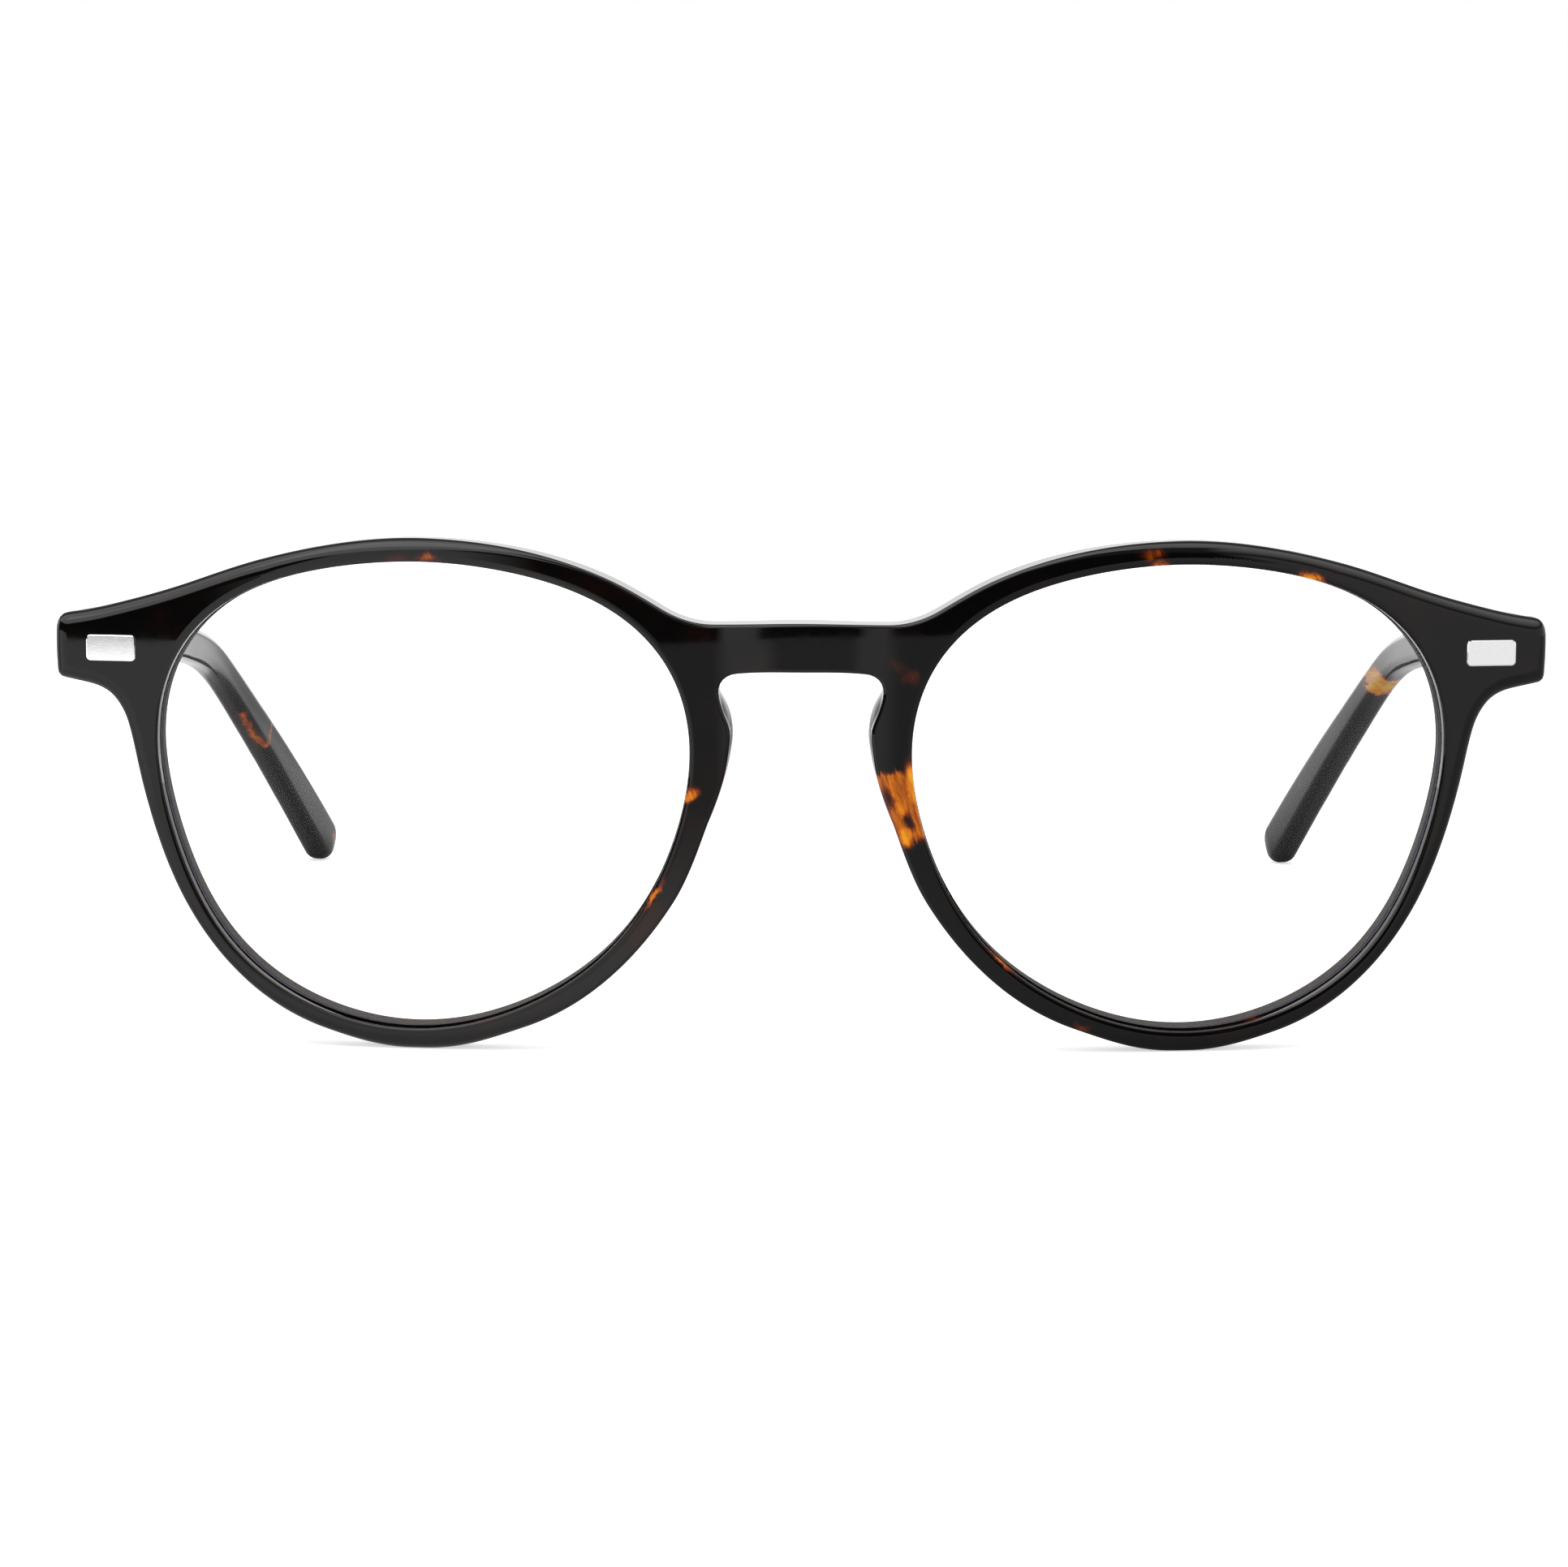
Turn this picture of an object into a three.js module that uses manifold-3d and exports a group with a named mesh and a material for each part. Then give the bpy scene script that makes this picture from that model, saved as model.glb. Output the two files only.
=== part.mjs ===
// Round acetate eyeglasses, open, standing on the lower rims and the temple tips.
// The front faces -Y and the temples run back along +Y. Millimetres and degrees, +Z up.
// Left and right are the wearer's, so the left side is at +X. The left side is modelled, the right mirrored.
import * as THREE from 'three';
import { mergeVertices } from 'three/addons/utils/BufferGeometryUtils.js';
import Module from 'manifold-3d';

const wasm = await Module();
wasm.setup();

// Front: a milled sheet, bent back round a large radius, with straight endpieces
const SHEET_THICKNESS = 4.2;
const EDGE_ROUND = 0.7;
const EDGE_ROUND_STEPS = 2;
const BEND_RADIUS = 270;
const BEND_HALF_LENGTH = 50;
const BRIDGE_SWELL = 1.0;
const BRIDGE_SWELL_REACH = 6;

// Half of the front's outline on the flat sheet, from the top of the bridge round to its underside:
// x, z and the heading of the outline there
const HALF_OUTLINE = [
  [0, 39.8, 0], [8, 39.7, 0], [12.65, 41.05, 31], [17.65, 43.8, 24],
  [34.85, 47.3, 1], [50.05, 45.1, -15], [57, 42.8, -19], [64.6, 40.6, -14],
  [68.55, 39.85, -8], [69.6, 38.35, -88], [69.5, 34.5, -94], [68.85, 33.75, -169],
  [66.35, 33.25, -168], [64, 32, -131], [62.75, 29.7, -107], [61.4, 24.1, -106],
  [56.6, 12.2, -122], [44.1, 1.7, -162], [36, 0, 180], [34.2, 0, 180],
  [25.2, 2.2, 160], [11.6, 13.95, 122], [8.55, 21.05, 110], [7, 27.4, 98],
  [7.05, 30.9, 84], [7.5, 33.6, 90], [5.95, 35.15, 174], [0, 35.3, 180],
];
const OUTLINE_TURN_STEP = 13;
const OUTLINE_LEAST_STEPS = 2;

// Lens opening: radii at even angles round the lens centre, from the temple side upwards,
// as an optician's tracer gives them
const LENS_X = 34.8;
const LENS_Z = 23.6;
const LENS_RADII = [24.3, 26.15, 23.35, 21.55, 22.95, 25.6, 24.25, 22.55, 21.55, 21.55, 22.15, 22.95];
const LENS_STEPS = 48;
const LENS_THICKNESS = 2;
const LENS_DOME = 1.5;
const LENS_INNER_RINGS = [0.4, 0.75];
const LENS_GAP = 0.15;
const BEVEL_HEIGHT = 0.45;
const BEVEL_HALF_WIDTH = 0.6;
const GROOVE_DEPTH = 0.6;
const GROOVE_FLARE = 1.25;

// Nose pads: height above the table and the distance of the crest from the middle of the nose
const PAD_CREST = [
  [18.6, 9.3], [21, 8.5], [24.5, 7.25], [27.2, 6.55], [29.8, 6.3], [31.9, 6.8], [33.3, 7.55],
];
const PAD_RINGS = 9;
const PAD_DEPTH = 4.6;
const PAD_LEAST_SHARE = 0.3;
const PAD_LENS_MARGIN = 1;
const PAD_ROUND_STEPS = 7;
const PAD_GLUE = 0.1;

// Plaques: metal inlays whose two pins go through the endpiece and the hinge plate behind it
const PLAQUE_AT = 64;
const PLAQUE_Z = 36.7;
const PLAQUE_LENGTH = 4.75;
const PLAQUE_HEIGHT = 2.45;
const PLAQUE_CORNER = 0.45;
const PLAQUE_CORNER_STEPS = 3;
const PLAQUE_THICKNESS = 0.8;
const PLAQUE_PROUD = 0.15;
const PLAQUE_CHAMFER = 0.15;
const PLAQUE_PIN_SPACING = 2.8;
const PIN_RADIUS = 0.4;
const PIN_HOLE_RADIUS = 0.5;
const INLAY_GAP = 0.15;

// Five-barrel hinges, three barrels on the front and two on the temple
const HINGE_AT = 63.9;
const HINGE_Z = 36.6;
const HINGE_STANDOFF = 1.9;
const BARRELS = 5;
const BARREL_RADIUS = 1.3;
const BARREL_HEIGHT = 0.92;
const BARREL_GAP = 0.1;
const BORE_RADIUS = 0.75;
const ROUND_STEPS = 20;
const HINGE_PLATE = 0.8;
const FRONT_PLATE_START = 61.2;
const FRONT_PLATE_END = 66.6;
const TEMPLE_PLATE_LENGTH = 9.4;
const TEMPLE_PLATE_HEIGHT = 4.2;
const TEMPLE_WEB_FRONT = 0.95;
const SCREW_RADIUS = 0.62;
const SCREW_HEAD_RADIUS = 1.15;
const SCREW_HEAD_HEIGHT = 0.6;
const SCREW_SLOT = 0.3;
const SCREW_END = 0.4;

// Temples: centreline of the left one, from the butt end at the hinge to the tip on the table
const TEMPLE_LINE = [
  [67.1, 8.5, 36.9], [66.5, 50, 32.9], [65.3, 88, 29.2], [63.6, 106, 25.2],
  [60.3, 119, 17], [56.8, 130.5, 8.1], [54, 138.8, 0.89],
];
const TEMPLE_THICKNESS = 4.2;
const TEMPLE_TIP_THICKNESS = 2.9;
const TEMPLE_HEIGHT = 5.4;
const TEMPLE_BEND_HEIGHT = 3.4;
const TEMPLE_TIP_HEIGHT = 4.8;
const TEMPLE_BEND_SHARE = 0.72;
const TEMPLE_CORNER = 1.1;
const CORNER_SHARES = [0, 0.5, 1];
const TEMPLE_RINGS = 20;
const TIP_ROUND_SHARE = 0.018;
const TIP_ROUND_STEPS = 4;
const TIP_EDGE_SHARE = 0.45;
const BUTT_GAP = 0.3;
const CORE_THICKNESS = 0.8;
const CORE_HEIGHT = 1.5;
const CORE_GAP = 0.2;
const CORE_START_SHARE = 0.035;
const CORE_END_SHARE = 0.9;
const CORE_RINGS = 16;

const WELD = 1e-4;
const NEAR_ZERO = 1e-9;
const CUT_PAST = 5;
const HALF_SHEET = SHEET_THICKNESS / 2;
const BEND_ANGLE = BEND_HALF_LENGTH / BEND_RADIUS;

const acetate = new THREE.MeshStandardMaterial({ color: 0x1b1310, roughness: 0.12, metalness: 0 });
const padAcetate = new THREE.MeshStandardMaterial({ color: 0x1d1512, roughness: 0.18, metalness: 0 });
const lensClear = new THREE.MeshStandardMaterial({ color: 0xf4f7fa, roughness: 0.03, metalness: 0 });
const polished = new THREE.MeshStandardMaterial({ color: 0xdcdcdc, roughness: 0.08, metalness: 1 });
const nickelSilver = new THREE.MeshStandardMaterial({ color: 0xb8b3a6, roughness: 0.3, metalness: 1 });
const coreSteel = new THREE.MeshStandardMaterial({ color: 0xa9abad, roughness: 0.4, metalness: 1 });

// A closed solid ready for cutting, from any closed geometry
function solidOf(geometry) {
  const bare = geometry.clone();
  bare.deleteAttribute('normal');
  bare.deleteAttribute('uv');
  const welded = mergeVertices(bare, WELD);
  const vertProperties = new Float32Array(welded.attributes.position.array);
  const triVerts = new Uint32Array(welded.index.array);
  return new wasm.Manifold(new wasm.Mesh({ numProp: 3, vertProperties, triVerts }));
}

// The geometry of a solid after cutting
function geometryOf(solid) {
  const mesh = solid.getMesh();
  const geometry = new THREE.BufferGeometry();
  geometry.setAttribute('position', new THREE.BufferAttribute(mesh.vertProperties, 3));
  geometry.setIndex(new THREE.BufferAttribute(mesh.triVerts, 1));
  geometry.computeVertexNormals();
  return geometry;
}

// Skin over rings that turn right-handed about the way they follow each other, closed at both ends
function loft(rings) {
  const sides = rings[0].length;
  const points = rings.flat();
  const index = [];
  for (let ring = 0; ring + 1 < rings.length; ring += 1) {
    for (let side = 0; side < sides; side += 1) {
      const here = ring * sides + side;
      const next = ring * sides + ((side + 1) % sides);
      index.push(here, next, next + sides, here, next + sides, here + sides);
    }
  }
  const lastRing = (rings.length - 1) * sides;
  const startCentre = points.length;
  const endCentre = startCentre + 1;
  points.push(middleOf(rings[0]), middleOf(rings[rings.length - 1]));
  for (let side = 0; side < sides; side += 1) {
    const next = (side + 1) % sides;
    index.push(startCentre, next, side, endCentre, lastRing + side, lastRing + next);
  }
  const geometry = new THREE.BufferGeometry().setFromPoints(points);
  geometry.setIndex(index);
  geometry.computeVertexNormals();
  return geometry;
}

function middleOf(ring) {
  const sum = ring.reduce((total, point) => total.add(point), new THREE.Vector3());
  return sum.divideScalar(ring.length);
}

// The place in space of a point on the flat sheet, after the sheet is bent; depth runs from front to back
function formed(x, depth, z) {
  const bent = Math.min(Math.abs(x), BEND_HALF_LENGTH);
  const straight = Math.abs(x) - bent;
  const angle = bent / BEND_RADIUS;
  const across = BEND_RADIUS * Math.sin(angle) + straight * Math.cos(angle) - depth * Math.sin(angle);
  const back = BEND_RADIUS * (1 - Math.cos(angle)) + straight * Math.sin(angle) + depth * Math.cos(angle);
  return new THREE.Vector3(Math.sign(x) * across, back, z);
}

// A geometry made about its own centre, set on the straight endpiece of the given side
function onEndpiece(geometry, side, x, depth, z) {
  const turn = new THREE.Matrix4().makeRotationZ(side * BEND_ANGLE);
  const move = new THREE.Matrix4().setPosition(formed(side * x, depth, z));
  return geometry.clone().applyMatrix4(move.multiply(turn));
}

// Points of one outline stretch between two nodes, an arc where both headings fit one
function stretch(from, to) {
  const startHeading = THREE.MathUtils.degToRad(from[2]);
  const endHeading = THREE.MathUtils.degToRad(to[2]);
  const turn = THREE.MathUtils.euclideanModulo(endHeading - startHeading + Math.PI, 2 * Math.PI) - Math.PI;
  const start = new THREE.Vector2(from[0], from[1]);
  const end = new THREE.Vector2(to[0], to[1]);
  const reach = start.distanceTo(end) / (3 * Math.cos(turn / 4) ** 2);
  const leave = new THREE.Vector2(Math.cos(startHeading), Math.sin(startHeading)).multiplyScalar(reach);
  const arrive = new THREE.Vector2(Math.cos(endHeading), Math.sin(endHeading)).multiplyScalar(-reach);
  const curve = new THREE.CubicBezierCurve(start, start.clone().add(leave), end.clone().add(arrive), end);
  const steps = Math.ceil(Math.abs(THREE.MathUtils.radToDeg(turn)) / OUTLINE_TURN_STEP);
  return curve.getPoints(Math.max(OUTLINE_LEAST_STEPS, steps)).slice(0, -1);
}

function frontOutline() {
  const half = HALF_OUTLINE.slice(1).flatMap((node, i) => stretch(HALF_OUTLINE[i], node));
  const [lastX, lastZ] = HALF_OUTLINE[HALF_OUTLINE.length - 1];
  half.push(new THREE.Vector2(lastX, lastZ));
  const otherHalf = half.slice(1, -1).reverse().map((point) => new THREE.Vector2(-point.x, point.y));
  return [...half, ...otherHalf];
}

// Radius of the lens opening at an angle, the smoothest closed curve through the traced radii
function lensRadius(angle) {
  const count = LENS_RADII.length;
  let radius = 0;
  for (let i = 0; i < count; i += 1) {
    const away = angle - (2 * Math.PI * i) / count;
    const half = Math.tan(away / 2);
    const share = Math.abs(half) < NEAR_ZERO ? 1 : Math.sin((count * away) / 2) / (count * half);
    radius += LENS_RADII[i] * share;
  }
  return radius;
}

// A closed anticlockwise ring on the flat sheet, at a share of the opening's radius, grown by a little
function lensRing(side, share, grow) {
  const ring = Array.from({ length: LENS_STEPS }, (_, i) => {
    const angle = (2 * Math.PI * i) / LENS_STEPS;
    const radius = share * (lensRadius(angle) + grow);
    return new THREE.Vector2(side * (LENS_X + radius * Math.cos(angle)), LENS_Z + radius * Math.sin(angle));
  });
  return side > 0 ? ring : ring.reverse();
}

// A ring of the lens or its groove in space, turning right-handed about +Y
function formedLensRing(side, share, grow, depth) {
  return lensRing(side, share, grow).reverse().map((point) => formed(point.x, depth, point.y));
}

function lensDepth(share) {
  return -LENS_DOME * (1 - share * share);
}

// Meniscus lens with a V-bevelled edge
function lensGeometry(side) {
  const halfThick = LENS_THICKNESS / 2;
  const face = (share, depth) => formedLensRing(side, share, -LENS_GAP, depth + lensDepth(share));
  const edge = (grow, depth) => formedLensRing(side, 1, grow, depth);
  const outwards = [...LENS_INNER_RINGS, 1];
  return loft([
    ...outwards.map((share) => face(share, -halfThick)),
    edge(-LENS_GAP, -BEVEL_HALF_WIDTH),
    edge(BEVEL_HEIGHT, 0),
    edge(-LENS_GAP, BEVEL_HALF_WIDTH),
    ...outwards.toReversed().map((share) => face(share, halfThick)),
  ]);
}

// The disc whose sharp edge cuts the V-groove that holds the lens
function grooveCutter(side) {
  const base = GROOVE_DEPTH - GROOVE_FLARE / (BEVEL_HALF_WIDTH / BEVEL_HEIGHT);
  return loft([
    formedLensRing(side, 1, base, -GROOVE_FLARE),
    formedLensRing(side, 1, GROOVE_DEPTH, 0),
    formedLensRing(side, 1, base, GROOVE_FLARE),
  ]);
}

// The milled sheet with both openings and rounded edges, bent into shape
function bentSheet() {
  const shape = new THREE.Shape(frontOutline());
  shape.holes = [-1, 1].map((side) => new THREE.Path(lensRing(side, 1, 0)));
  const sheet = new THREE.ExtrudeGeometry(shape, {
    depth: SHEET_THICKNESS - 2 * EDGE_ROUND,
    bevelThickness: EDGE_ROUND,
    bevelSize: EDGE_ROUND,
    bevelOffset: -EDGE_ROUND,
    bevelSegments: EDGE_ROUND_STEPS,
  });
  const position = sheet.attributes.position;
  for (let i = 0; i < position.count; i += 1) {
    const x = position.getX(i);
    const flatDepth = HALF_SHEET - EDGE_ROUND - position.getZ(i);
    const swell = BRIDGE_SWELL * Math.exp(-((x / BRIDGE_SWELL_REACH) ** 2));
    const depth = flatDepth * (1 + (flatDepth > 0 ? swell / HALF_SHEET : 0));
    position.setXYZ(i, ...formed(x, depth, position.getY(i)).toArray());
  }
  return sheet;
}

function roundedBar(length, height, corner) {
  const shape = new THREE.Shape();
  const x = length / 2 - corner;
  const z = height / 2 - corner;
  shape.absarc(x, z, corner, 0, Math.PI / 2);
  shape.absarc(-x, z, corner, Math.PI / 2, Math.PI);
  shape.absarc(-x, -z, corner, Math.PI, 1.5 * Math.PI);
  shape.absarc(x, -z, corner, 1.5 * Math.PI, 2 * Math.PI);
  return shape;
}

// A rod along Y between two depths, about its own axis
function depthRod(radius, length) {
  return new THREE.CylinderGeometry(radius, radius, length, ROUND_STEPS / 2);
}

// What the plaque takes out of the endpiece: a shallow pocket and two pin holes right through
function plaqueCutters(side) {
  const outline = roundedBar(PLAQUE_LENGTH + 2 * INLAY_GAP, PLAQUE_HEIGHT + 2 * INLAY_GAP, PLAQUE_CORNER);
  const depth = PLAQUE_THICKNESS - PLAQUE_PROUD + INLAY_GAP;
  const pocket = new THREE.ExtrudeGeometry(outline, {
    depth: depth + CUT_PAST,
    bevelEnabled: false,
    curveSegments: PLAQUE_CORNER_STEPS,
  });
  pocket.translate(0, 0, -depth);
  pocket.rotateX(Math.PI / 2);
  const holes = pinPlaces().map((x) => {
    return onEndpiece(depthRod(PIN_HOLE_RADIUS, 2 * SHEET_THICKNESS), side, x, 0, PLAQUE_Z);
  });
  return [onEndpiece(pocket, side, PLAQUE_AT, -HALF_SHEET, PLAQUE_Z), ...holes];
}

function pinPlaces() {
  return [PLAQUE_AT - PLAQUE_PIN_SPACING / 2, PLAQUE_AT + PLAQUE_PIN_SPACING / 2];
}

function plaqueGeometry() {
  const plate = new THREE.ExtrudeGeometry(roundedBar(PLAQUE_LENGTH, PLAQUE_HEIGHT, PLAQUE_CORNER), {
    depth: PLAQUE_THICKNESS - 2 * PLAQUE_CHAMFER,
    bevelThickness: PLAQUE_CHAMFER,
    bevelSize: PLAQUE_CHAMFER,
    bevelOffset: -PLAQUE_CHAMFER,
    bevelSegments: 1,
    curveSegments: PLAQUE_CORNER_STEPS,
  });
  plate.translate(0, 0, PLAQUE_PROUD - PLAQUE_THICKNESS + PLAQUE_CHAMFER);
  plate.rotateX(Math.PI / 2);
  let plaque = solidOf(onEndpiece(plate, 1, PLAQUE_AT, -HALF_SHEET, PLAQUE_Z));
  const pinStart = -HALF_SHEET + PLAQUE_THICKNESS / 2;
  const pinLength = HALF_SHEET - pinStart;
  for (const x of pinPlaces()) {
    const pin = onEndpiece(depthRod(PIN_RADIUS, pinLength), 1, x, pinStart + pinLength / 2, PLAQUE_Z);
    plaque = plaque.add(solidOf(pin));
  }
  return geometryOf(plaque);
}

// The block that holds the front hinge plate, or with a gap round it, the pocket for it
function frontPlateBlock(side, gap) {
  const length = FRONT_PLATE_END - FRONT_PLATE_START + 2 * gap;
  const height = hingeHeight() + 2 * gap;
  const past = gap > 0 ? CUT_PAST : 0;
  const block = new THREE.BoxGeometry(length, HINGE_PLATE + gap + past, height);
  const middle = (FRONT_PLATE_START + FRONT_PLATE_END) / 2;
  return onEndpiece(block, side, middle, HALF_SHEET + (past - gap - HINGE_PLATE) / 2, HINGE_Z);
}

function frontGeometry() {
  let front = solidOf(bentSheet());
  for (const side of [-1, 1]) {
    const cutters = [grooveCutter(side), ...plaqueCutters(side), frontPlateBlock(side, INLAY_GAP)];
    for (const cutter of cutters) {
      front = front.subtract(solidOf(cutter));
    }
  }
  return geometryOf(front);
}

// Nose pad: a bean on the back of the rim, rounded towards the nose, thinning out at both ends
function padGeometry() {
  const crest = new THREE.SplineCurve(PAD_CREST.map(([z, x]) => new THREE.Vector2(x, z)));
  const rings = Array.from({ length: PAD_RINGS }, (_, i) => {
    const share = i / (PAD_RINGS - 1);
    const { x: inner, y: z } = crest.getPoint(share);
    const full = Math.max(PAD_LEAST_SHARE, Math.sqrt(1 - (2 * share - 1) ** 2));
    const outer = inner + (padOuter(z) - inner) * full;
    return padRing(inner, outer, PAD_DEPTH * full, z);
  });
  return loft(rings);
}

// The nasal side of the lens opening at a height, less the margin that the pad keeps
function padOuter(z) {
  const angle = Math.PI - Math.asin((z - LENS_Z) / lensRadius(Math.PI));
  return LENS_X + lensRadius(angle) * Math.cos(angle) - PAD_LENS_MARGIN;
}

function padRing(inner, outer, depth, z) {
  const base = HALF_SHEET + PAD_GLUE + BRIDGE_SWELL * Math.exp(-((inner / BRIDGE_SWELL_REACH) ** 2));
  return Array.from({ length: PAD_ROUND_STEPS + 1 }, (_, i) => {
    const angle = (Math.PI * i) / PAD_ROUND_STEPS;
    const x = (inner + outer) / 2 + ((outer - inner) / 2) * Math.cos(angle);
    return formed(x, base + depth * Math.sin(angle), z);
  });
}

function hingeHeight() {
  return BARRELS * BARREL_HEIGHT + (BARRELS - 1) * BARREL_GAP;
}

function hingeAxis() {
  return formed(HINGE_AT, HALF_SHEET + HINGE_STANDOFF, HINGE_Z);
}

function barrelMiddle(i) {
  return (i - (BARRELS - 1) / 2) * (BARREL_HEIGHT + BARREL_GAP);
}

// A round upright bar about the hinge axis
function upright(radius, height, lift) {
  const bar = new THREE.CylinderGeometry(radius, radius, height, ROUND_STEPS);
  bar.rotateX(Math.PI / 2);
  bar.translate(...hingeAxis().toArray());
  return bar.translate(0, 0, lift);
}

// Front half of the hinge: outer and middle barrels on webs that stand on the inlaid plate
function frontHingeGeometry() {
  let hinge = solidOf(frontPlateBlock(1, 0));
  const webDepth = HINGE_STANDOFF + HINGE_PLATE / 2;
  const web = new THREE.BoxGeometry(2 * BARREL_RADIUS, webDepth, BARREL_HEIGHT);
  for (let i = 0; i < BARRELS; i += 2) {
    const lift = barrelMiddle(i);
    const webMiddle = HALF_SHEET + HINGE_STANDOFF - webDepth / 2;
    hinge = hinge.add(solidOf(onEndpiece(web, 1, HINGE_AT, webMiddle, HINGE_Z + lift)));
    hinge = hinge.add(solidOf(upright(BARREL_RADIUS, BARREL_HEIGHT, lift)));
  }
  hinge = hinge.subtract(solidOf(upright(BORE_RADIUS, 2 * hingeHeight(), 0)));
  for (const x of pinPlaces()) {
    const hole = onEndpiece(depthRod(PIN_HOLE_RADIUS, 2 * HINGE_PLATE), 1, x, HALF_SHEET, PLAQUE_Z);
    hinge = hinge.subtract(solidOf(hole));
  }
  return geometryOf(hinge);
}

// The inner side face of the temple beside the hinge
function templeInnerX() {
  return TEMPLE_LINE[0][0] - TEMPLE_THICKNESS / 2;
}

// The block of the temple's hinge plate, or with a gap round it, the pocket for it
function templePlateBlock(gap) {
  const axis = hingeAxis();
  const start = gap > 0 ? axis.y - CUT_PAST : axis.y - TEMPLE_WEB_FRONT;
  const end = axis.y - TEMPLE_WEB_FRONT + TEMPLE_PLATE_LENGTH + gap;
  const inner = templeInnerX() - (gap > 0 ? CUT_PAST : 0);
  const outer = templeInnerX() + HINGE_PLATE + gap;
  const block = new THREE.BoxGeometry(outer - inner, end - start, TEMPLE_PLATE_HEIGHT + 2 * gap);
  return block.translate((inner + outer) / 2, (start + end) / 2, HINGE_Z);
}

// Temple half of the hinge: two barrels between the front's three, on webs from the inlaid plate
function templeHingeGeometry() {
  const axis = hingeAxis();
  let hinge = solidOf(templePlateBlock(0));
  const webLength = templeInnerX() + HINGE_PLATE / 2 - axis.x;
  const webDepth = TEMPLE_WEB_FRONT + BARREL_RADIUS;
  for (let i = 1; i < BARRELS; i += 2) {
    const lift = barrelMiddle(i);
    const web = new THREE.BoxGeometry(webLength, webDepth, BARREL_HEIGHT);
    web.translate(axis.x + webLength / 2, axis.y - TEMPLE_WEB_FRONT + webDepth / 2, HINGE_Z + lift);
    hinge = hinge.add(solidOf(web));
    hinge = hinge.add(solidOf(upright(BARREL_RADIUS, BARREL_HEIGHT, lift)));
  }
  return geometryOf(hinge.subtract(solidOf(upright(BORE_RADIUS, 2 * hingeHeight(), 0))));
}

// Slotted screw through all five barrels, with its head on the uppermost
function screwGeometry() {
  const top = hingeHeight() / 2 + BARREL_GAP;
  const bottom = -hingeHeight() / 2 - SCREW_END;
  const shankTop = top + SCREW_HEAD_HEIGHT / 2;
  const shank = upright(SCREW_RADIUS, shankTop - bottom, (shankTop + bottom) / 2);
  const head = upright(SCREW_HEAD_RADIUS, SCREW_HEAD_HEIGHT, top + SCREW_HEAD_HEIGHT / 2);
  const slot = new THREE.BoxGeometry(SCREW_SLOT, 3 * SCREW_HEAD_RADIUS, SCREW_HEAD_HEIGHT);
  const axis = hingeAxis();
  slot.translate(axis.x, axis.y, axis.z + top + SCREW_HEAD_HEIGHT);
  return geometryOf(solidOf(shank).add(solidOf(head)).subtract(solidOf(slot)));
}

const templeCurve = new THREE.CatmullRomCurve3(TEMPLE_LINE.map((point) => new THREE.Vector3(...point)));

// The directions across and up in a section of the temple
function templeSection(share) {
  const along = templeCurve.getTangentAt(share);
  const across = new THREE.Vector3().crossVectors(along, new THREE.Vector3(0, 0, 1)).normalize();
  const up = new THREE.Vector3().crossVectors(across, along);
  return { middle: templeCurve.getPointAt(share), across, up };
}

// A rounded section of the temple, turning right-handed about the way to the tip
function templeRing(share, thickness, height) {
  const { middle, across, up } = templeSection(share);
  const corner = Math.min(TEMPLE_CORNER, thickness / 2, height / 2);
  const ring = [];
  for (let quarter = 0; quarter < 4; quarter += 1) {
    for (const part of CORNER_SHARES) {
      const angle = ((quarter + part) * Math.PI) / 2;
      const sideways = [1, 1, -1, -1][quarter] * (thickness / 2 - corner) + corner * Math.sin(angle);
      const upwards = [1, -1, -1, 1][quarter] * (height / 2 - corner) + corner * Math.cos(angle);
      ring.push(middle.clone().addScaledVector(across, sideways).addScaledVector(up, upwards));
    }
  }
  return ring;
}

function templeHeight(share) {
  if (share < TEMPLE_BEND_SHARE) {
    return THREE.MathUtils.lerp(TEMPLE_HEIGHT, TEMPLE_BEND_HEIGHT, share / TEMPLE_BEND_SHARE);
  }
  const past = THREE.MathUtils.smoothstep(share, TEMPLE_BEND_SHARE, 1);
  return THREE.MathUtils.lerp(TEMPLE_BEND_HEIGHT, TEMPLE_TIP_HEIGHT, past);
}

// Thick rounded bar along the centreline, with a rounded paddle tip
function templeBar() {
  const rings = [];
  for (let i = 0; i <= TEMPLE_RINGS; i += 1) {
    const share = ((1 - TIP_ROUND_SHARE) * i) / TEMPLE_RINGS;
    const thinned = Math.min(1, share / TEMPLE_BEND_SHARE);
    const thickness = THREE.MathUtils.lerp(TEMPLE_THICKNESS, TEMPLE_TIP_THICKNESS, thinned);
    rings.push(templeRing(share, thickness, templeHeight(share)));
  }
  for (let i = 1; i <= TIP_ROUND_STEPS; i += 1) {
    const angle = (i * Math.PI) / 2 / (TIP_ROUND_STEPS + 0.5);
    const share = 1 - TIP_ROUND_SHARE * (1 - Math.sin(angle));
    const thickness = TEMPLE_TIP_THICKNESS * (TIP_EDGE_SHARE + (1 - TIP_EDGE_SHARE) * Math.cos(angle));
    rings.push(templeRing(share, thickness, TEMPLE_TIP_HEIGHT * Math.cos(angle)));
  }
  return loft(rings);
}

// A square bar on the centreline between two shares of its length
function coreBar(start, end, thickness, height) {
  const rings = Array.from({ length: CORE_RINGS }, (_, i) => {
    const share = THREE.MathUtils.lerp(start, end, i / (CORE_RINGS - 1));
    const { middle, across, up } = templeSection(share);
    return [[-1, 1], [1, 1], [1, -1], [-1, -1]].map(([sideways, upwards]) => {
      const point = middle.clone().addScaledVector(across, (sideways * thickness) / 2);
      return point.addScaledVector(up, (upwards * height) / 2);
    });
  });
  return loft(rings);
}

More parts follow.
